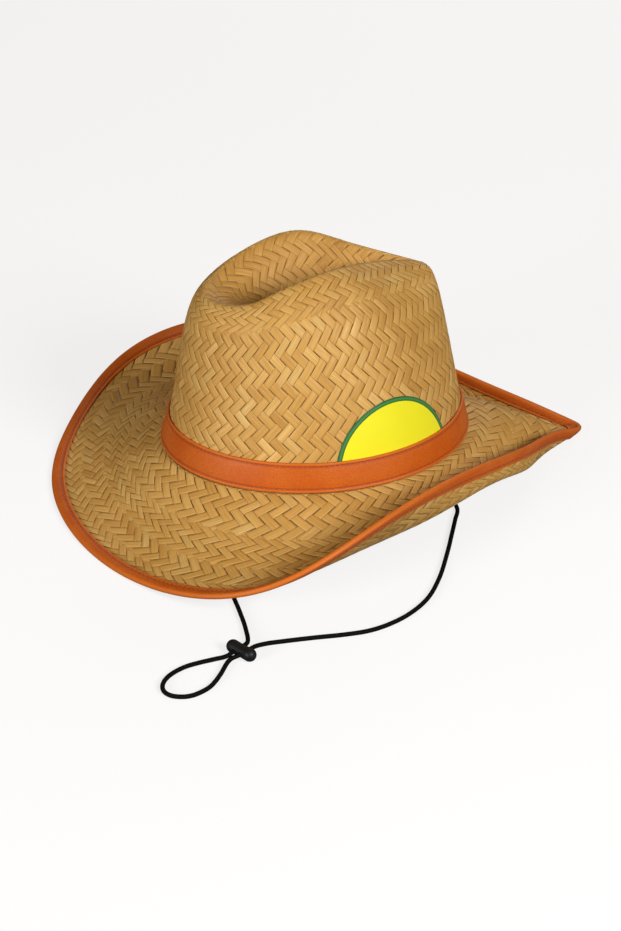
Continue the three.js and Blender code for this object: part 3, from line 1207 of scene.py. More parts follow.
@dataclass(frozen=True)
class LabelFinish(Finish):
    """A printed glossy label: a yellow face inside a green border."""

    name: str = "printed_label"
    roughness: float = 0.32
    coat: float = 0.25
    border: float = 2.9
    print_blur: float = 0.12
    line_margin: float = 0.5
    line_blur: float = 0.6
    line_share: float = 0.85
    aged_share: float = 0.10
    yellow: Colour = (0.90, 0.84, 0.012)
    aged: Colour = (0.80, 0.68, 0.03)
    green: Colour = (0.020, 0.135, 0.030)
    # This lighter green is a painted highlight, a line round the inside of the border.
    leaf_green: Colour = (0.06, 0.26, 0.075)

    def dress(self, look: Look) -> None:
        """Adds the yellow face, the green border and a lighter line in the border, which is a painted highlight.

        Args:
            look: The material's nodes.
        """
        n = look.n
        face = look.attribute("face")
        radius = n.add("ShaderNodeVectorMath", {"operation": "LENGTH"}, in0=face).outputs["Value"]
        mottle = look.group(look.groups.mottle)
        outer = LabelPlan.radius
        inner = outer - self.border
        low, high = self.line_margin, self.line_margin + self.line_blur
        ring = n.ease(radius, inner - self.print_blur, inner + self.print_blur)
        # A painted highlight: a lighter line round the inside of the green border.
        light = n.ease(radius, inner + low, inner + high)
        light = n.math("MULTIPLY", light, n.ease(radius, outer - high - 0.1, outer - low - 0.1, 1.0, 0.0))
        green = n.mix(n.math("MULTIPLY", light, self.line_share), self.green, self.leaf_green)
        yellow = n.mix(n.math("MULTIPLY", mottle["Patch"], self.aged_share), self.yellow, self.aged)
        look.feed(Base_Color=n.mix(ring, yellow, green))
        look.feed(Roughness=n.ease(mottle["Speck"], 0.0, 1.0, 0.34, 0.27))
        look.bump(mottle["Patch"], 0.00015, 0.3)


@dataclass(frozen=True)
class CordFinish(Finish):
    """A tight round braid of black yarn."""

    name: str = "black_braid"
    roughness: float = 0.8
    specular: float = 0.12
    strands: int = 8
    lay: float = 3.4
    dark: Colour = (0.0008, 0.0008, 0.0009)
    light: Colour = (0.0045, 0.0045, 0.0048)

    def dress(self, look: Look) -> None:
        """Adds the braid's crossing strands, with painted highlights on their crowns and painted shade between them.

        Args:
            look: The material's nodes.
        """
        n = look.n
        part = n.split(look.attribute("braid"))
        round_ = n.math("MULTIPLY", part[1], self.strands / 2 * TURN)
        along = n.math("MULTIPLY", part[0], TURN / self.lay * 2)
        left = n.math("SINE", n.math("ADD", along, round_))
        right = n.math("SINE", n.math("SUBTRACT", along, round_))
        weave = n.math("MULTIPLY_ADD", n.math("MULTIPLY", left, right), 0.5, 0.5)
        yarn = look.group(look.groups.mottle, Patches=1800.0)["Patch"]
        # The weave mask paints the strands' crowns lighter and the hollows between them darker, as light and shade.
        look.feed(Base_Color=n.mix(weave, self.dark, self.light))
        look.feed(Roughness=n.ease(weave, 0.0, 1.0, 0.85, 0.62))
        look.bump(n.math("MULTIPLY_ADD", yarn, 0.25, weave), 0.0003, 0.8)


@dataclass(frozen=True)
class PlasticFinish(Finish):
    """Moulded black plastic with a fine matte texture."""

    name: str = "black_plastic"
    roughness: float = 0.42
    specular: float = 0.3
    dark: Colour = (0.003, 0.003, 0.0033)
    light: Colour = (0.009, 0.009, 0.010)

    def dress(self, look: Look) -> None:
        """Adds the matte texture and its soft changes.

        Args:
            look: The material's nodes.
        """
        patch, speck = look.group(look.groups.mottle, Specks=3500.0)
        look.feed(Base_Color=look.n.mix(patch, self.dark, self.light))
        look.feed(Roughness=look.n.ease(patch, 0.0, 1.0, 0.38, 0.5))
        look.bump(speck, 0.00008, 0.5)


@dataclass(frozen=True)
class FloorFinish(Finish):
    """A plain pale surface."""

    name: str = "pale_floor"
    roughness: float = 0.9
    specular: float = 0.0
    colour: Colour = (0.26, 0.25, 0.24)
    glow: float = 0.77

    def dress(self, look: Look) -> None:
        """Lets the camera see the floor as white, while it throws back little light.

        Args:
            look: The material's nodes.
        """
        n, shader = look.n, look.shader.outputs[0]
        look.shader.inputs["Base Color"].default_value = (*self.colour, 1.0)
        glow = n.add("ShaderNodeEmission", None, Color=(1.0, 1.0, 1.0, 1.0), Strength=self.glow)
        seen = n.add("ShaderNodeAddShader", None, in0=shader, in1=glow.outputs[0])
        n.shown_to_camera(shader, seen.outputs[0], "Material Output")


# Geometry Nodes


def modified(obj: Object, tree: NodeTree, **inputs: object) -> Object:
    """Runs a geometry tree on an object and keeps the result as a plain mesh piece.

    Args:
        obj: The object that the tree starts from, which is removed.
        tree: The tree.
        **inputs: The tree's inputs by name, with _ for a space.

    Returns:
        The new object.
    """
    modifier = obj.modifiers.new("shape", "NODES")
    modifier.node_group = tree
    named = {s.name: s.identifier for s in tree.interface.items_tree if s.in_out == "INPUT"}
    for name, value in inputs.items():
        modifier[named[name.replace("_", " ")]] = value
    name, mesh = obj.name, shown_mesh(obj)
    bpy.data.objects.remove(obj)
    return placed(name, mesh)


def geometry_tree(name: str, **inputs: tuple[str, object]) -> tuple[Nodes, object]:
    """Starts a geometry tree with named inputs.

    Args:
        name: The tree's name.
        **inputs: For each input, its socket type and value.

    Returns:
        The tree's nodes and its group input's outputs.
    """
    tree = bpy.data.node_groups.new(name, "GeometryNodeTree")
    tree.interface.new_socket("Geometry", in_out="INPUT", socket_type=GEOMETRY)
    for label, (kind, value) in inputs.items():
        sockets(tree, **{label: ("IN", kind, value)})
    tree.interface.new_socket("Geometry", in_out="OUTPUT", socket_type=GEOMETRY)
    n = Nodes(tree)
    return n, n.add("NodeGroupInput").outputs


def weave_tree() -> NodeTree:
    """Makes the tree that weaves strips over a surface.

    The surface holds its place in the weave as the attribute lattice, in columns and rows, and
    the way off it as outwards. One short strip that shows, a float, is set at each place and
    turned by its row, and then the whole weave is bent to the surface.

    Returns:
        The tree.
    """
    n, given = geometry_tree(
        "woven_floats",
        Float=("NodeSocketObject", None),
        Columns=("NodeSocketInt", 60),
        Rows=("NodeSocketInt", 4),
        First_Row=("NodeSocketInt", 0),
        Sink=(FLOAT, 0.0003),
        Uneven=(FLOAT, 0.00006),
        Seed=("NodeSocketInt", 1),
        Lightest=(FLOAT, 1.0),
        Material=("NodeSocketMaterial", None),
    )
    index = n.one("GeometryNodeInputIndex")
    columns = given["Columns"]
    count = n.math("MULTIPLY", columns, n.math("ADD", given["Rows"], 2.0))
    counted = n.math("FLOOR", n.math("DIVIDE", index, columns))
    round_ = n.math("SUBTRACT", index, n.math("MULTIPLY", counted, columns))
    up = n.math("SUBTRACT", counted, 1.0)
    row = n.math("ADD", up, given["First Row"])
    turned = n.math("FLOORED_MODULO", row, 2.0)
    u = n.math("MULTIPLY_ADD", turned, 0.5, round_)
    place = n.join(u, n.math("ADD", up, 0.5))
    points = n.one("GeometryNodePoints", Count=count, Position=place)
    lean = n.math("MULTIPLY_ADD", turned, 2.0, -1.0)
    strip = n.math("MULTIPLY_ADD", lean, row, round_)
    strip = n.math("MULTIPLY_ADD", turned, 4000.0, n.math("FLOORED_MODULO", strip, columns))
    for name, source, shift in (("strip_tone", strip, 0), ("float_tone", index, 7), ("rise", index, 13)):
        seed = n.math("ADD", given["Seed"], float(shift))
        value = n.add("FunctionNodeRandomValue", None, in3=given["Lightest"], ID=source, Seed=seed).outputs[1]
        store = {"data_type": "FLOAT", "domain": "POINT"}
        stored = n.add("GeometryNodeStoreNamedAttribute", store, Geometry=points, Name=name)
        n.tree.links.new(value, stored.inputs["Value"])
        points = stored.outputs[0]
    vector = {"data_type": "FLOAT_VECTOR"}
    named = (n.add("GeometryNodeInputNamedAttribute", vector, Name=name) for name in PATCH_VECTORS)
    lattice, outwards, past = (node.outputs[0] for node in named)

    def sampled(value: object, spot: object) -> NodeSocket:
        """Reads a value of the surface at a place in the weave.

        Args:
            value: The value's socket.
            spot: The place's socket.

        Returns:
            The value's socket at that place.
        """
        small = n.scaled(spot, 1 / LATTICE_SPAN)
        inputs = {"Mesh": given["Geometry"], "Value": value, "Source_UV_Map": lattice}
        return n.add("GeometryNodeSampleUVSurface", vector, Sample_UV=small, **inputs).outputs[0]

    over = n.math("GREATER_THAN", n.split(sampled(past, place))[0], 0.0)
    each = {"domain": "POINT"}
    points = n.add("GeometryNodeDeleteGeometry", each, Geometry=points, Selection=over).outputs[0]
    spin = n.join(z=n.math("MULTIPLY", lean, math.radians(-45)))
    info = n.add("GeometryNodeObjectInfo", None, Object=given["Float"]).outputs["Geometry"]
    set_out = n.add("GeometryNodeInstanceOnPoints", None, Points=points, Instance=info, Rotation=spin)
    flat = n.one("GeometryNodeRealizeInstances", Geometry=set_out.outputs[0])
    at = n.one("GeometryNodeInputPosition")
    part = n.split(at)
    spot = n.join(part[0], part[1])
    found = [sampled(value, spot) for value in (at, outwards)]
    rise = n.add("GeometryNodeInputNamedAttribute", {"data_type": "FLOAT"}, Name="rise").outputs[0]
    height = n.math("MULTIPLY_ADD", n.math("SUBTRACT", rise, 0.5), given["Uneven"], part[2])
    beyond = n.math("MAXIMUM", n.math("MULTIPLY", part[1], -1.0), n.math("SUBTRACT", part[1], given["Rows"]))
    sunk = n.math("MULTIPLY", n.ease(beyond, 0.0, 0.45), given["Sink"])
    height = n.math("SUBTRACT", height, sunk)
    lift = n.scaled(found[1], height)
    final = n.one("ShaderNodeVectorMath", in0=found[0], in1=lift)
    bent = n.one("GeometryNodeSetPosition", Geometry=flat, Position=final)
    dressed = n.add("GeometryNodeSetMaterial", None, Geometry=bent, Material=given["Material"])
    n.add("NodeGroupOutput", None, in0=dressed.outputs[0])
    return n.tree


def stitch_tree() -> NodeTree:
    """Makes the tree that sews stitches along a line.

    Returns:
        The tree, which starts from a curve.
    """
    n, given = geometry_tree(
        "sewn_stitches",
        Pitch=(FLOAT, 0.0034),
        Length=(FLOAT, 0.0026),
        Radius=(FLOAT, 0.0003),
        Slant=(FLOAT, 0.06),
        Seed=("NodeSocketInt", 3),
        Material=("NodeSocketMaterial", None),
    )
    even = {"mode": "LENGTH"}
    spaced = n.add("GeometryNodeCurveToPoints", even, Curve=given["Geometry"], Length=given["Pitch"])
    jitter = n.add("FunctionNodeRandomValue", None, in2=-1.0, in3=1.0, Seed=given["Seed"]).outputs[1]
    slant = n.join(z=n.math("MULTIPLY", jitter, given["Slant"]))
    ball = n.one("GeometryNodeMeshUVSphere", Segments=6, Rings=5, Radius=1.0)
    way = spaced.outputs["Tangent"]
    along = n.add("FunctionNodeAlignRotationToVector", {"axis": "X"}, Vector=way).outputs[0]
    leaned = n.one("FunctionNodeRotateRotation", in0=along, in1=slant)
    half = n.math("MULTIPLY", given["Length"], 0.5)
    size = n.join(half, given["Radius"], given["Radius"])
    turned = {"Rotation": leaned, "Scale": size}
    sewn = n.one("GeometryNodeInstanceOnPoints", Points=spaced.outputs[0], Instance=ball, **turned)
    real = n.one("GeometryNodeRealizeInstances", Geometry=sewn)
    smooth = n.one("GeometryNodeSetShadeSmooth", Geometry=real)
    dressed = n.add("GeometryNodeSetMaterial", None, Geometry=smooth, Material=given["Material"])
    n.add("NodeGroupOutput", None, in0=dressed.outputs[0])
    return n.tree


def sewn_line(name: str, line: Points, tree: NodeTree, thread: Material) -> Object:
    """Sews stitches along a closed line.

    Args:
        name: The stitches' name.
        line: The line's points in millimetres.
        tree: The stitch tree.
        thread: The thread's material.

    Returns:
        The stitches as one mesh.
    """
    curve = bpy.data.curves.new(name, "CURVE")
    curve.dimensions = "3D"
    spline = curve.splines.new("POLY")
    spline.points.add(len(line) - 1)
    plan = SeamPlan()
    raised = np.c_[line[:, :2], np.maximum(line[:, 2], plan.radius)]
    spline.points.foreach_set("co", np.c_[raised * MM, np.ones(len(line))].ravel())
    spline.use_cyclic_u = True
    sizes = {"Pitch": plan.pitch * MM, "Length": plan.length * MM, "Radius": plan.radius * MM}
    return modified(placed(name, curve), tree, Material=thread, **sizes)


@dataclass(frozen=True)
class SeamPlan:
    """The machine stitches' sizes."""

    pitch: float = 3.4
    length: float = 2.7
    radius: float = 0.28


# The straw


@dataclass(frozen=True)
class FloatShape:
    """One float of the weave: the stretch of a strip that lies over its neighbours.

    The weave's own units are columns and rows, and a strip is half a diagonal wide.
    """

    stations: tuple[float, ...] = (-1.32, -1.1, -0.9, -0.4, 0.4, 0.9, 1.1, 1.32)
    drops: tuple[float, ...] = (0.72, 0.36, 0.08, 0.0, 0.0, 0.08, 0.36, 0.72)
    edges: tuple[float, ...] = (-1.0, -0.95, -0.45, 0.45, 0.95, 1.0)
    edge_drops: tuple[float, ...] = (0.34, 0.04, 0.0, 0.0, 0.04, 0.34)
    top: float = 0.06
    width_share: float = 0.975

    def template(self, side: Side) -> Object:
        """Makes the float that the weave repeats.

        Args:
            side: The face of the straw that it lies on.

        Returns:
            The float, level, along X, in the weave's units with its height in metres.
        """
        eta, xi = np.meshgrid(self.stations, self.edges, indexing="ij")
        drop = np.array(self.drops)[:, None] + np.array(self.edge_drops)[None, :]
        height = -(self.top + drop)
        half = math.sqrt(0.5)
        points = np.stack([eta * half / MM, xi * self.width_share * half / 2 / MM, height], -1)
        faces = grid_faces(len(self.stations), len(self.edges))[:, ::-1]
        if side is Side.INNER:
            points[..., 1] *= -1
        obj = mesh_object("float", points, faces)
        set_vectors(obj, "leaf", np.stack([eta, xi, 0 * xi], -1))
        if side is Side.INNER:
            obj.data.flip_normals()
        return obj


@dataclass(frozen=True)
class WeaveZone:
    """A band of weave between two shares of the crown's or the brim's section.

    A new zone starts where strips are added or dropped, so that they keep their width.
    """

    start: float
    stop: float
    columns: int
    rows: int


CROWN_ZONES = (
    WeaveZone(0.0, 0.74, 66, 12),
    WeaveZone(0.74, 1.0, 54, 4),
    WeaveZone(1.0, 2.0, 44, 8),
)
BRIM_ZONES = (
    WeaveZone(0.0, 0.30, 70, 4),
    WeaveZone(0.30, 0.58, 84, 4),
    WeaveZone(0.58, 0.80, 98, 2),
    WeaveZone(0.80, 1.0, 108, 3),
)


@dataclass
class StrawBody:
    """The woven straw: a thin core and the strips that cover it on both faces."""

    skin: Skin
    core_lift: float = -0.5
    core_columns: int = 288
    core_rows: int = 30
    crease_rows: int = 16
    merge: float = 2e-5
    fine_steps: int = 721
    measured_steps: int = 121
    measured_columns: int = 72
    patch_steps: int = 5
    margin: float = 1.5
    row_height: float = 8.45
    ridge: float = 0.7
    ridge_width: float = 2.6
    wall_scale: float = 87.0
    crease_scale: float = 37.0
    hem: float = 1.2
    # The crease's strips take only darker tones, as painted shade in the crease.
    crease_lightest: float = 0.3
    crown_float: FloatShape = field(default_factory=FloatShape)
    brim_float: FloatShape = FloatShape(width_share=0.955)

    def spots(self, on_crown: bool, angle: Points, share: Points) -> tuple[Points, Points]:
        """Points and outward normals of the crown, with the fold's pressed ridge, or the brim.

        Args:
            on_crown: Whether they lie on the crown.
            angle: The angles from the front, in radians.
            share: The shares of the section.

        Returns:
            The points and the normals.
        """
        if on_crown:
            points, normals = self.skin.crown_spot(angle, np.clip(share, 0, 2))
            scale = np.where(share < 1, self.wall_scale, self.crease_scale)
            ridge = self.ridge * np.exp(-(((share - 1) * scale / self.ridge_width) ** 2))
            return points + ridge[..., None] * normals, normals
        limit = self.skin.share_from_edge(angle, self.hem)
        return self.skin.brim_spot(angle, np.clip(share, 0, limit))

    def core(self) -> Object:
        """Makes the core, one closed skin with an outer and an inner face.

        Returns:
            The core.
        """
        angle = even_angles(self.core_columns)
        corner = self.core_rows
        parts = [(False, share) for share in np.linspace(1, 0, corner + 1)]
        parts += [(True, share) for share in np.linspace(0, 1, corner + 1)[1:]]
        parts += [(True, share) for share in np.linspace(1, 2, self.crease_rows + 1)[1:]]
        lines = [self.spots(on_crown, angle, np.full_like(angle, share)) for on_crown, share in parts]
        mixed = unit(lines[corner][1] + lines[corner + 1][1])
        lines[corner] = (lines[corner][0], mixed)
        points = np.stack([line[0] for line in lines], 1)
        normals = np.stack([line[1] for line in lines], 1)
        outer = points + self.core_lift * normals
        inner = points - (STRAW_WALL + self.core_lift) * normals
        shell = np.concatenate([outer, inner[:, ::-1]], 1)
        faces = grid_faces(self.core_columns, shell.shape[1], True, True)
        seam = faces[:, 0] % shell.shape[1] == len(parts) - 1
        obj = mesh_object("straw_core", shell, faces[~seam])
        edited(obj, lambda build: bmesh.ops.remove_doubles(build, verts=build.verts, dist=self.merge))
        return obj

    def patch(self, on_crown: bool, zone: WeaveZone, side: Side) -> Object:
        """Makes the surface that a zone's strips are bent to.

        Args:
            on_crown: Whether the zone lies on the crown.
            zone: The zone.
            side: The face of the straw.

        Returns:
            The surface, a little larger than the zone, with lattice and outwards.
        """
        measured = np.linspace(0, 2 if on_crown else 1, self.measured_steps)
        grid = self.spots(on_crown, even_angles(self.measured_columns)[None, :], measured[:, None])[0]
        lengths = np.apply_along_axis(np.mean, 1, np.cumsum(
            np.linalg.norm(np.diff(grid, axis=0, prepend=grid[:1]), axis=-1), axis=0))
        ends = np.interp([zone.start, zone.stop], measured, lengths)
        rows = np.linspace(-self.margin, zone.rows + self.margin, (zone.rows + 3) * self.patch_steps)
        reach = ends[0] + rows / zone.rows * (ends[1] - ends[0])
        shares = np.interp(reach, lengths, measured)
        columns = np.arange(-self.patch_steps, (zone.columns + 1) * self.patch_steps + 1)
        columns = columns / self.patch_steps
        fine = np.linspace(0, TURN, self.fine_steps)
        angles = []
        for share in shares:
            loop = self.spots(on_crown, fine, np.full_like(fine, share))[0]
            run = arc_lengths(loop)
            turns = np.floor(columns / zone.columns)
            angles.append(np.interp(columns / zone.columns - turns, run / run[-1], fine) + turns * TURN)
        angle = np.array(angles)
        points, normals = self.spots(on_crown, angle, np.repeat(shares[:, None], angle.shape[1], 1))
        u, v = np.meshgrid(columns, rows)
        return self.patch_mesh(points, normals, (u, v, 0 * u - 1), side)

    def patch_mesh(
        self, points: Points, normals: Points, weave: tuple[Points, Points, Points], side: Side
    ) -> Object:
        """Makes a patch's mesh.

        Args:
            points: Its points, in rows.
            normals: The straw's outward normals there.
            weave: The column, the row and how far past the crease's bottom line each point is.
            side: The face of the straw.

        Returns:
            The mesh, with the attributes that the weave tree reads.
        """
        base = 0.0 if side is Side.OUTER else -STRAW_WALL
        obj = mesh_object("patch", points + base * normals, grid_faces(*points.shape[:2]))
        u, v, past = weave
        lattice = np.stack([u, v, 0 * u], -1) / LATTICE_SPAN
        beyond = np.stack([past, 0 * u, 0 * u], -1)
        for name, values in zip(PATCH_VECTORS, (lattice, normals * side.value, beyond)):
            set_vectors(obj, name, values)
        return obj

    def crease_patch(self, zone: WeaveZone, side: Side) -> Object:
        """Makes the crease's surface, with rows at even distances from the fold.

        Args:
            zone: The crease's zone.
            side: The face of the straw.

        Returns:
            The surface, which runs on level past the crease's bottom line.
        """
        columns = np.arange(-self.patch_steps, (zone.columns + 1) * self.patch_steps + 1) / self.patch_steps
        fine = np.linspace(0, TURN, self.fine_steps)
        run = arc_lengths(self.skin.fold(fine))
        turns = np.floor(columns / zone.columns)
        angle = np.interp(columns / zone.columns - turns, run / run[-1], fine) + turns * TURN
        rows = np.linspace(-self.margin, zone.rows + self.margin, (zone.rows + 3) * self.patch_steps)
        shares = np.linspace(0.7, 2.0, 131)
        points, normals, past = [], [], []
        for here in angle:
            section, out = self.spots(True, np.full_like(shares, here), shares)
            reach = arc_lengths(section)
            reach = reach - np.interp(1.0, shares, reach)
            wanted = rows * self.row_height
            over = np.maximum(wanted - reach[-1], 0)
            ahead = unit((section[-1] - section[-4]) * (1, 1, 0))
            line = np.stack([np.interp(wanted, reach, section[:, k]) for k in range(3)], -1)
            points.append(line + over[:, None] * ahead)
            normals.append(unit(np.stack([np.interp(wanted, reach, out[:, k]) for k in range(3)], -1)))
            past.append(wanted - reach[-1])
        u, v = np.meshgrid(columns, rows)
        stacked = (np.stack(points, 1), np.stack(normals, 1))
        return self.patch_mesh(*stacked, (u, v, np.stack(past, 1)), side)

    def weave(
        self, name: str, zones: Sequence[WeaveZone], side: Side, tree: NodeTree, straw: Material
    ) -> Object:
        """Weaves the strips over one face of the crown or the brim.

        Args:
            name: The piece's name.
            zones: The zones, all on the crown or all on the brim.
            side: The face of the straw.
            tree: The weave tree.
            straw: The strips' material.

        Returns:
            The strips as one piece.
        """
        on_crown = zones is CROWN_ZONES
        template = (self.crown_float if on_crown else self.brim_float).template(side)
        parts = []
        for number, zone in enumerate(zones):
            creased = on_crown and zone.start >= 1
            patch = self.crease_patch(zone, side) if creased else self.patch(on_crown, zone, side)
            parts.append(modified(
                patch,
                tree,
                Float=template,
                Columns=zone.columns,
                Rows=zone.rows,
                First_Row=int(side is Side.INNER),
                Seed=11 * number + 3,
                # In the crease the tones are held darker, as painted shade.
                Lightest=self.crease_lightest if creased else 1.0,
                Material=straw,
            ))
        bpy.data.objects.remove(template)
        return joined(name, parts)

    def build(self, straw: Material, core: Material) -> list[Object]:
        """Builds the straw's pieces.

        Args:
            straw: The strips' material.
            core: The core's material.

        Returns:
            The core and the strips of each face.
        """
        tree = weave_tree()
        inside = self.core()
        inside.data.materials.append(core)
        named = (
            ("crown_weave", CROWN_ZONES, Side.OUTER),
            ("brim_weave", BRIM_ZONES, Side.OUTER),
            ("crown_inner_weave", CROWN_ZONES, Side.INNER),
            ("brim_under_weave", BRIM_ZONES, Side.INNER),
        )
        strips = [self.weave(name, zones, side, tree, straw) for name, zones, side in named]
        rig.replaces(inside, "straw_body")
        return [inside, *strips]


# The vinyl trim


@dataclass(frozen=True)
class TrimCorner:
    """A corner of a trim's section: its place across the strip and its lift off the straw.

    Groove is 1 in a sewn groove, where shade is painted, and ridge is 1 on a raised edge, where a highlight is
    painted.
    """

    place: float
    lift: float
    groove: float = 0.0
    ridge: float = 0.0


BINDING_SECTION = table(TrimCorner, (
    (9.7, 0.05), (9.7, 0.62, 0.0, 0.6), (9.3, 1.02, 0.0, 1.0), (8.2, 1.12, 0.0, 0.5), (7.5, 0.80, 0.8),
    (7.1, 0.66, 1.0), (6.7, 0.74, 0.8), (5.6, 1.0), (3.6, 1.08), (2.0, 1.1, 0.0, 0.2),
    (0.9, 0.86, 0.0, 0.6), (0.25, 0.25, 0.0, 0.9), (0.0, -0.8, 0.0, 1.0), (0.25, -1.85, 0.0, 0.9),
    (0.9, -2.46, 0.0, 0.5), (2.0, -2.7), (3.6, -2.68), (5.4, -2.6), (6.3, -2.34, 0.8), (6.7, -2.28, 1.0),
    (7.1, -2.34, 0.8), (7.9, -2.58, 0.0, 0.2), (9.1, -2.5, 0.0, 0.8), (9.5, -2.2, 0.0, 0.6), (9.5, -1.72),
    (1.0, -1.9), (1.0, 0.3),
))
BAND_SECTION = table(TrimCorner, (
    (0.6, 0.0), (0.55, 0.75, 0.0, 0.7), (0.95, 1.30, 0.0, 1.0), (1.5, 1.44, 0.0, 0.8),
    (2.1, 1.30, 0.0, 0.2), (2.5, 0.98, 0.8), (2.8, 0.86, 1.0), (3.1, 0.96, 0.8), (3.9, 1.18), (7.5, 1.3),
    (10.0, 1.34), (12.6, 1.3), (15.8, 1.2), (17.0, 0.96, 0.8), (17.3, 0.86, 1.0), (17.6, 0.98, 0.8),
    (18.0, 1.30, 0.0, 0.2), (18.6, 1.44, 0.0, 0.8), (19.15, 1.30, 0.0, 1.0), (19.55, 0.75, 0.0, 0.7),
    (19.5, 0.0), (10.0, 0.0),
))


def dress_trim(obj: Object, loops: Points, section: Sequence[TrimCorner]) -> None:
    """Stores each point's run along the trim, its groove and its ridge.

    Args:
        obj: The trim's mesh.
        loops: Its points, round the hat and then round the section.
        section: The section's corners.
    """
    run = arc_lengths(loops[:, 0])
    marks = np.zeros(loops.shape)
    marks[..., 0] = run[:, None]
    marks[..., 1] = column(section, "groove")
    marks[..., 2] = column(section, "ridge")
    set_vectors(obj, "trim", marks)


@dataclass(frozen=True)
class TrimStuff:
    """What the trim is made from: its vinyl, its thread and the tree that sews."""

    vinyl: Material
    thread: Material
    stitches: NodeTree

    def sewn(self, obj: Object, node: str, loops: Points, seams: dict[str, int]) -> list[Object]:
        """Finishes a trim and sews it.

        Args:
            obj: The trim.
            node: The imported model's solid that it replaces.
            loops: Its points, round the hat and then round the section.
            seams: Each seam's name and its corner of the section.

        Returns:
            The trim and its stitches.
        """
        rows = [sewn_line(name, loops[:, row], self.stitches, self.thread) for name, row in seams.items()]
        return [finished(obj, self.vinyl, node), *rows]


@dataclass
class BrimBinding:
    """The vinyl strip folded round the brim's edge and sewn through."""

    skin: Skin
    stations: int = 480
    top_seam: int = 5
    under_seam: int = 19

    def build(self, stuff: TrimStuff) -> list[Object]:
        """Builds the binding and its stitches.

        Args:
            stuff: What it is made from.

        Returns:
            The binding and the stitches on both its faces.
        """
        angle = even_angles(self.stations)
        spots = [self.skin.edge_spot(angle, corner.place) for corner in BINDING_SECTION]
        obj, loops = lofted_ring("binding", spots, column(BINDING_SECTION, "lift"), 0.0)
        dress_trim(obj, loops, BINDING_SECTION)
        seams = {"binding_stitches_top": self.top_seam, "binding_stitches_under": self.under_seam}
        return stuff.sewn(obj, "brim_binding", loops, seams)


@dataclass
class HatBand:
    """The sewn vinyl band round the foot of the crown."""

    skin: Skin
    stations: int = 360
    inside: float = 0.12
    label_room: float = 0.75
    label_margin: float = 2.0
    label_fade: float = 22.0
    low_seam: int = 6
    high_seam: int = 14

    def gap(self, angle: Points, label: "LabelPlan") -> Points:
        """How far the band's back stands off the straw, wider where the label is tucked in.

        Args:
            angle: The angles from the front, in radians.
            label: The label.

        Returns:
            The gap at each angle.
        """
        past = np.abs((angle - math.radians(label.centre_deg)) * self.skin.mean_radius) - label.radius
        share = np.clip((past - self.label_margin) / self.label_fade, 0, 1)
        return self.inside + self.label_room * (1 - share**2 * (3 - 2 * share))

    def build(self, label: "LabelPlan", stuff: TrimStuff) -> list[Object]:
        """Builds the band and its stitches.

        Args:
            label: The label that the band holds.
            stuff: What it is made from.

        Returns:
            The band and its two rows of stitches.
        """
        angle = even_angles(self.stations)
        gap = self.gap(angle, label)[:, None]
        spots = [self.skin.wall_spot(angle, corner.place) for corner in BAND_SECTION]
        lifts = [gap + corner.lift for corner in BAND_SECTION]
        obj, loops = lofted_ring("band", spots, lifts)
        obj.data.flip_normals()
        dress_trim(obj, loops, BAND_SECTION)
        seams = {"band_stitches_low": self.low_seam, "band_stitches_high": self.high_seam}
        return stuff.sewn(obj, "hat_band", loops, seams)


@dataclass(frozen=True)
class LabelPlan:
    """Where the label sits on the crown's wall, and its sizes."""

    centre_deg: float = 106.3
    radius: float = 41.4
    centre_height: float = 10.6
    lowest_height: float = 4.5
    thickness: float = 0.5
    lift: float = 0.12


@dataclass
class LabelBadge:
    """The round printed label, bent to the wall and tucked behind the band."""

    skin: Skin
    plan: LabelPlan = field(default_factory=LabelPlan)
    rings: int = 14
    spokes: int = 96
    hub: float = 0.04
    bevel: float = 0.15

    def build(self, printed: Material) -> Object:
        """Builds the label.

        Args:
            printed: Its material.

        Returns:
            The label.
        """
        plan = self.plan
        turn = even_angles(self.spokes)
        rim = [(1 - (1 - s) ** 2) * plan.radius for s in np.linspace(self.hub, 1, self.rings)]
        rows = [(r, plan.thickness) for r in rim[:-1]]
        rows += [(plan.radius - self.bevel, plan.thickness), (plan.radius, plan.thickness - self.bevel)]
        rows += [(plan.radius, 0.0)] + [(r, 0.0) for r in rim[-2::-1]]
        loops = []
        faces_at = []
        for radius, lift in rows:
            across, up = radius * np.cos(turn), radius * np.sin(turn)
            height = np.maximum(plan.centre_height + up, plan.lowest_height)
            angle = math.radians(plan.centre_deg) + across / self.skin.mean_radius
            points, normals = self.skin.wall_spot(angle, height)
            loops.append(points + (plan.lift + lift) * normals)
            faces_at.append(np.stack([across, height - plan.centre_height, 0 * across], -1))
        obj = mesh_object("label", np.array(loops), capped_tube(len(rows), self.spokes))
        obj.data.flip_normals()
        set_vectors(obj, "face", np.array(faces_at))
        return finished(obj, printed, "label_badge")


# The chin cord


@dataclass(frozen=True)
class TogglePlan:
    """The cord lock's place and sizes."""

    x: float = 190.5
    y: float = -125.5
    radius: float = 4.1
    length: float = 21.8
    turn_deg: float = 26.8
    bore_pitch: float = 5.2
    bore_radius: float = 1.5

    def beside(self, along: float, out: float, height: float) -> tuple[float, float, float]:
        """A place along the barrel, out along the bores and up, in the frame.

        Args:
            along: How far along the barrel.
            out: How far out along the bores.
            height: The height.

        Returns:
            The place.
        """
        turn = math.radians(self.turn_deg)
        x = self.x + along * math.cos(turn) + out * math.sin(turn)
        return x, self.y + along * math.sin(turn) - out * math.cos(turn), height


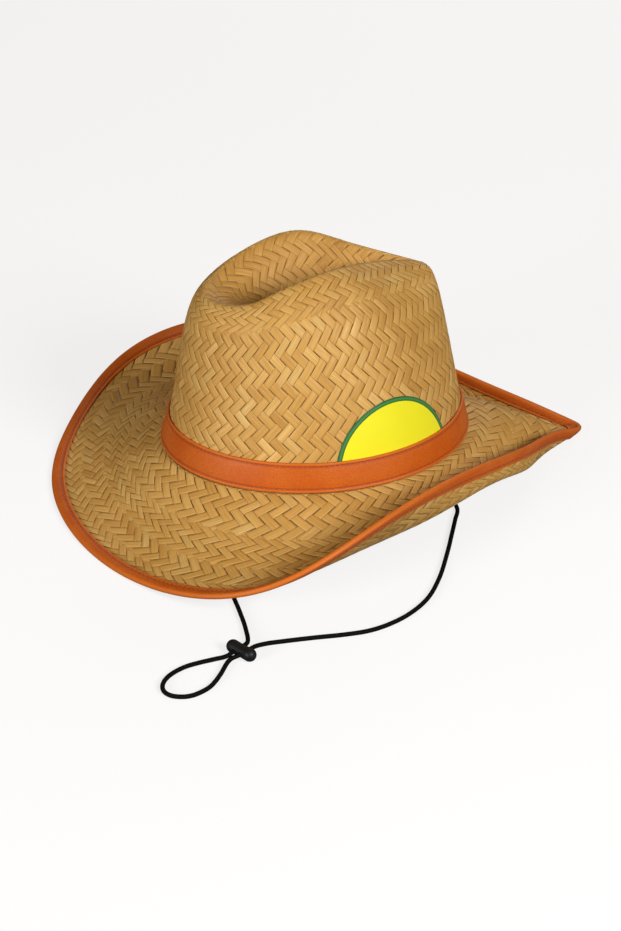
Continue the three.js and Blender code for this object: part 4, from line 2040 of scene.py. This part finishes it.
@dataclass(frozen=True)
class TabPlan:
    """The small tabs inside the crown that hold the cord's ends."""

    thickness: float = 3.2
    width: float = 9.0
    height: float = 9.0
    centre_height: float = 12.0
    clearance: float = 0.3

    def place(self, skin: Skin, side: int) -> tuple[Points, float]:
        """A tab's centre and its lean.

        Args:
            skin: The straw's outer face.
            side: 1 for the wearer's left, and -1 for the right.

        Returns:
            The centre, and the lean in radians.
        """
        point, normal = skin.wall_spot(np.array(side * math.pi / 2), np.array(self.centre_height))
        depth = STRAW_WALL + 2 * self.clearance + self.thickness / 2
        return point - depth * normal, math.atan2(normal[2], abs(normal[0]))

    def below(self, skin: Skin, side: int, drop: float) -> tuple[float, float, float]:
        """A place below a tab's lower end, in line with it.

        Args:
            skin: The straw's outer face.
            side: 1 for the wearer's left, and -1 for the right.
            drop: How far below.

        Returns:
            The place.
        """
        centre, lean = self.place(skin, side)
        length = self.height / 2 + drop
        x = centre[0] + side * length * math.sin(lean)
        return x, centre[1], centre[2] - length * math.cos(lean)


@dataclass
class ChinCord:
    """The braided cord, from tab to tab through the lock and round its free loop."""

    skin: Skin
    toggle: TogglePlan = field(default_factory=TogglePlan)
    tab: TabPlan = field(default_factory=TabPlan)
    radius: float = 1.4
    clearance: float = 0.3
    sides: int = 16
    steps: int = 760
    span_steps: int = 24
    true_length: float = 0.813

    def route(self) -> Points:
        """The points that the cord passes through, in millimetres.

        Returns:
            The points, from tab to tab.
        """
        laid = self.radius + self.clearance
        half = self.toggle.bore_pitch / 2
        level = self.toggle.radius
        below, beside = self.tab.below, self.toggle.beside
        return np.array([
            below(self.skin, -1, self.clearance), below(self.skin, -1, 12), (-72, -21, 14),
            (-52, -33, 4), (-28, -47, laid), (20, -73, laid), (70, -97, laid), (104, -107.5, laid),
            (128.5, -110, laid), (148, -112, laid), (165.5, -114.5, laid),
            beside(-half - 1.8, -9.5, level - 0.7), beside(-half, -4, level), beside(-half, 4, level),
            beside(-half - 1, 8.5, level - 1.5), (190.5, -142.5, laid), (191, -151.5, laid),
            (192.5, -161, laid), (197, -170.5, laid), (202, -176, laid), (207.5, -179, laid),
            (213, -179.5, laid), (218, -177, laid), (221.5, -171, laid), (222, -165.5, laid),
            (220.5, -160, laid), (217.5, -154, laid), (213, -149, laid), (206.5, -143.5, laid),
            beside(half - 2.3, 9.5, level - 1.6), beside(half, 4, level), beside(half, -4, level),
            beside(half - 1, -10.5, level - 1.2), (185, -107.5, laid), (186, -98, laid),
            (188.5, -79.5, laid), (191.5, -61, laid), (192.5, -47, laid), (190.5, -34.5, laid),
            (184, -18, laid), (171.5, -0.5, laid), (152, 15.5, laid), (123, 33.5, laid),
            (104.5, 44, laid), (88.5, 53, laid), (75, 60, laid), (63, 59, 4), (59, 45, 10),
            (63, 24, 18), (73, 4, 25), below(self.skin, 1, 12), below(self.skin, 1, self.clearance),
        ])

    def centreline(self) -> Points:
        """The smooth line through the route, in even steps.

        Returns:
            The line's points in millimetres.
        """
        points = self.route()
        padded = np.concatenate([[2 * points[0] - points[1]], points, [2 * points[-1] - points[-2]]])
        knots = np.concatenate([[0], np.cumsum(np.linalg.norm(np.diff(padded, axis=0), axis=-1) ** 0.5)])
        fine = []
        for i in range(1, len(padded) - 2):
            times = np.linspace(knots[i], knots[i + 1], self.span_steps, endpoint=False)
            fine.append(self.span(padded[i - 1:i + 3], knots[i - 1:i + 3], times))
        line = np.concatenate([*fine, [points[-1]]])
        run = arc_lengths(line)
        even = np.linspace(0, run[-1], self.steps + 1)
        return np.stack([np.interp(even, run, line[:, k]) for k in range(3)], -1)

    @staticmethod
    def span(points: Points, knots: Points, times: Points) -> Points:
        """Reads one span of a Catmull-Rom curve.

        Args:
            points: The four points round the span.
            knots: Their knots.
            times: The knot values at which the span is read.

        Returns:
            The curve's points.
        """
        t = times[:, None]

        def between(a: Points, b: Points, low: float, high: float) -> Points:
            """Blends two points or lines by a knot value."""
            return (high - t) / (high - low) * a + (t - low) / (high - low) * b

        first = [between(points[k], points[k + 1], knots[k], knots[k + 1]) for k in range(3)]
        second = [between(first[k], first[k + 1], knots[k], knots[k + 2]) for k in range(2)]
        return between(second[0], second[1], knots[1], knots[2])

    def build(self, braid: Material) -> tuple[Object, Points]:
        """Builds the cord.

        Args:
            braid: Its material.

        Returns:
            The cord and its centreline in metres.
        """
        line = self.centreline()
        tangents = unit(np.gradient(line, axis=0))
        sideways = np.cross(tangents[0], (0, 1, 0))
        frames = []
        for tangent in tangents:
            sideways = unit(sideways - tangent * (sideways @ tangent))
            frames.append((sideways, np.cross(tangent, sideways)))
        turn = even_angles(self.sides)
        rings = [
            centre + self.radius * (np.cos(turn)[:, None] * a + np.sin(turn)[:, None] * b)
            for centre, (a, b) in zip(line, frames)
        ]
        obj = mesh_object("cord", np.array(rings), capped_tube(len(line), self.sides))
        u, v = np.meshgrid(arc_lengths(line), turn / TURN, indexing="ij")
        set_vectors(obj, "braid", np.stack([u, v, 0 * u], -1))
        return finished(obj, braid, "chin_cord"), line * MM


@dataclass
class CordLock:
    """The round-ended barrel lock with its two bores."""

    plan: TogglePlan
    segments: int = 48
    arc_steps: int = 10
    bore_sides: int = 24
    shoulder: float = 0.72
    waist: float = 0.3
    flare: float = 2.6
    flare_depth: float = 0.5

    def build(self, plastic: Material) -> Object:
        """Builds the lock.

        Args:
            plastic: Its material.

        Returns:
            The lock.
        """
        plan = self.plan
        half = plan.length / 2 - plan.radius
        profile = [(-half - plan.radius * math.cos(a), plan.radius * math.sin(a))
                   for a in np.linspace(0, math.pi / 2, self.arc_steps + 1)]
        profile += [(-half * self.shoulder, plan.radius - self.waist / 2.5), (0.0, plan.radius - self.waist)]
        profile += [(-x, r) for x, r in profile[-2::-1]]
        turn = even_angles(self.segments)
        rings = [np.stack([np.full_like(turn, x), r * np.cos(turn), r * np.sin(turn)], -1)
                 for x, r in profile[1:-1]]
        points = np.concatenate([[(profile[0][0], 0, 0)], *rings, [(profile[-1][0], 0, 0)]])
        faces = [list(f + 1) for f in grid_faces(len(rings), self.segments, False, True)]
        last = len(points) - 1
        for i in range(self.segments):
            j = (i + 1) % self.segments
            faces.append([0, 1 + j, 1 + i])
            faces.append([last, last - self.segments + i, last - self.segments + j])
        obj = mesh_object("cord_lock", points, faces)
        for side in (-1, 1):
            self.bore(obj, side * plan.bore_pitch / 2)
        place = Matrix.Translation(Vector((plan.x, plan.y, plan.radius)) * MM)
        obj.data.transform(place @ Matrix.Rotation(math.radians(plan.turn_deg), 4, "Z"))
        faced_out(obj)
        obj.data.set_sharp_from_angle(angle=math.radians(40))
        return finished(obj, plastic, "cord_toggle")

    def bore(self, obj: Object, along: float) -> None:
        """Cuts a bore with flared mouths through the barrel.

        Args:
            obj: The barrel.
            along: The bore's place along it.
        """
        plan = self.plan
        reach = 2 * plan.radius
        mouth = plan.radius - self.flare_depth
        half = [(mouth, plan.bore_radius), (reach, self.flare)]
        profile = [(-y, r) for y, r in half[::-1]] + half
        turn = even_angles(self.bore_sides)
        rings = [np.stack([along + r * np.cos(turn), np.full_like(turn, y), r * np.sin(turn)], -1)
                 for y, r in profile]
        cutter = mesh_object("bore", np.array(rings), capped_tube(len(profile), self.bore_sides))
        faced_out(cutter)
        cut = obj.modifiers.new("bore", "BOOLEAN")
        cut.operation = "DIFFERENCE"
        cut.object = cutter
        mesh = shown_mesh(obj)
        obj.modifiers.remove(cut)
        obj.data = mesh
        bpy.data.objects.remove(cutter)


@dataclass
class CordTab:
    """A tab folded over the cord's end and sewn inside the crown."""

    skin: Skin
    side: int
    plan: TabPlan = field(default_factory=TabPlan)
    fold_steps: int = 9
    end_squeeze: float = 0.86

    def build(self, vinyl: Material) -> Object:
        """Builds the tab.

        Args:
            vinyl: Its material.

        Returns:
            The tab.
        """
        plan = self.plan
        centre, lean = plan.place(self.skin, self.side)
        half = plan.thickness / 2
        turn = np.linspace(0, math.pi, self.fold_steps)
        bottom = plan.height / 2 - half
        outline = [(-half * math.cos(a), -bottom - half * math.sin(a)) for a in turn]
        outline += [(half, plan.height / 2), (-half, plan.height / 2)]
        x, z = np.array(outline).T
        sections = [(-0.5, self.end_squeeze), (-0.47, 1.0), (0.47, 1.0), (0.5, self.end_squeeze)]
        loops = np.stack([
            np.stack([x * k, np.full_like(x, y * plan.width), z * (0.9 + 0.1 * k)], -1) for y, k in sections
        ])
        name = "tab_left" if self.side > 0 else "tab_right"
        obj = mesh_object(name, loops, capped_tube(len(sections), len(outline)))
        faced_out(obj)
        spin = Matrix.Rotation(-self.side * lean, 4, "Y")
        obj.data.transform(Matrix.Translation(Vector(centre) * MM) @ spin)
        obj.data.set_sharp_from_angle(angle=math.radians(50))
        return finished(obj, vinyl, f"cord_{name}")


# The photograph's view and light


@dataclass(frozen=True)
class PhotoCamera:
    """The camera that took the photograph, a portrait frame of 621 by 931 pixels."""

    place: tuple[float, float, float] = (1357.9, -503.9, 804.7)
    target: tuple[float, float, float] = (118.9, -56.6, 77.8)
    lens: float = 96.4
    long_side: float = 36.0

    def build(self) -> None:
        """Makes the camera and makes it the scene's."""
        data = bpy.data.cameras.new("photo_camera")
        data.lens = self.lens
        data.sensor_width = self.long_side
        data.sensor_fit = "AUTO"
        data.clip_start = 0.05
        camera = placed("photo_camera", data)
        aimed(camera, Vector(self.place) * MM, Vector(self.target) - Vector(self.place))
        bpy.context.scene.camera = camera


@dataclass(frozen=True)
class Lamp:
    """A soft square light that looks at the hat."""

    name: str
    azimuth: float
    elevation: float
    distance: float
    size: float
    power: float

    def build(self, centre: Vector) -> None:
        """Hangs the light.

        Args:
            centre: The point that it looks at, in metres.
        """
        data = bpy.data.lights.new(self.name, "AREA")
        data.shape = "DISK"
        data.size = self.size
        data.energy = self.power
        turn, rise = math.radians(self.azimuth), math.radians(self.elevation)
        way = Vector((math.sin(turn) * math.cos(rise), -math.cos(turn) * math.cos(rise), math.sin(rise)))
        aimed(placed(self.name, data), centre + way * self.distance, -way)


@dataclass
class Studio:
    """The pale floor and the soft lights."""

    floor_half: float = 6.0
    shade: Colour = (1.0, 0.72, 0.42)
    shade_strength: float = 0.065
    backdrop: Colour = (0.94, 0.94, 0.94)
    lamps: tuple[Lamp, ...] = (
        Lamp("key", 108, 29, 2.0, 0.8, 33),
        Lamp("fill", 26, 15, 2.0, 0.8, 23),
        Lamp("back", 236, 30, 2.0, 1.0, 7),
    )

    def build(self, centre: Vector, groups: Groups) -> None:
        """Lays the floor and hangs the lights.

        Args:
            centre: The middle of the hat, in metres.
            groups: The shared shader groups.
        """
        half = self.floor_half / MM
        corners = [(-half, -half, 0), (half, -half, 0), (half, half, 0), (-half, half, 0)]
        floor = mesh_object("floor", np.array(corners, float), [[0, 1, 2, 3]], False)
        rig.stage(finished(floor, FloorFinish().material(groups)))
        world = bpy.data.worlds.new("studio")
        world.use_nodes = True
        background = world.node_tree.nodes["Background"]
        background.inputs["Color"].default_value = (*self.shade, 1.0)
        background.inputs["Strength"].default_value = self.shade_strength
        n = Nodes(world.node_tree)
        seen = n.add("ShaderNodeBackground", None, Color=(*self.backdrop, 1.0))
        n.shown_to_camera(background.outputs[0], seen.outputs[0], "World Output")
        bpy.context.scene.world = world
        bpy.context.scene.view_settings.view_transform = "Standard"
        for lamp in self.lamps:
            lamp.build(centre)


def ride(piece: Object, slot: Slot) -> None:
    """Lets a piece ride on the hat and names its slot.

    Args:
        piece: The piece.
        slot: The material slot that it takes its finish from.
    """
    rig.ride(piece, "root")
    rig.slot(piece, slot.value)
    log.info("%s: %d faces, slot %s", piece.name, len(piece.data.polygons), slot.value)


def main() -> None:
    """Builds the hat's pieces in order and dresses them."""
    logging.basicConfig(level=logging.INFO, format="%(name)s: %(message)s")
    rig.load()
    packed = [list(corner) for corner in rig.bounds()]
    PhotoCamera().build()
    skin = Skin.shaped()
    groups = Groups()

    chin = ChinCord(skin)
    cord, line = chin.build(CordFinish().material(groups))
    lock = CordLock(chin.toggle).build(PlasticFinish().material(groups))
    vinyl = VinylFinish().material(groups)
    tabs = [CordTab(skin, side).build(vinyl) for side in (1, -1)]
    ride(cord, Slot.CORD)
    ride(lock, Slot.PLASTIC)
    for tab in tabs:
        ride(tab, Slot.VINYL)
    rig.cord(
        cord,
        exit=line[0],
        length=chin.true_length,
        diameter=2 * chin.radius * MM,
        far_end="object",
        stiffness="limp",
        lay="loose",
        path=line[::PATH_STEP],
        with_pieces=[lock],
    )

    straw = StrawFinish().material(groups)
    for piece in StrawBody(skin).build(straw, StrawCoreFinish().material(groups)):
        ride(piece, Slot.STRAW)
    stuff = TrimStuff(vinyl, ThreadFinish().material(groups), stitch_tree())
    label = LabelBadge(skin)
    for piece in [*BrimBinding(skin).build(stuff), *HatBand(skin).build(label.plan, stuff)]:
        ride(piece, Slot.VINYL)
    ride(label.build(LabelFinish().material(groups)), Slot.LABEL)

    low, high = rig.box("straw_body")
    Studio().build((low + high) / 2, groups)
    dressed = [list(corner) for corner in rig.bounds()]
    write_sizes(packed, dressed)


def write_sizes(packed: list, dressed: list) -> None:
    """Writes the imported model's box and the dressed model's box.

    Args:
        packed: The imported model's lowest and highest corners, in metres.
        dressed: The dressed model's.
    """
    with open("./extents.json", "w", encoding="utf-8") as file:
        json.dump({"packed": packed, "dressed": dressed}, file)


if __name__ == "__main__":
    main()
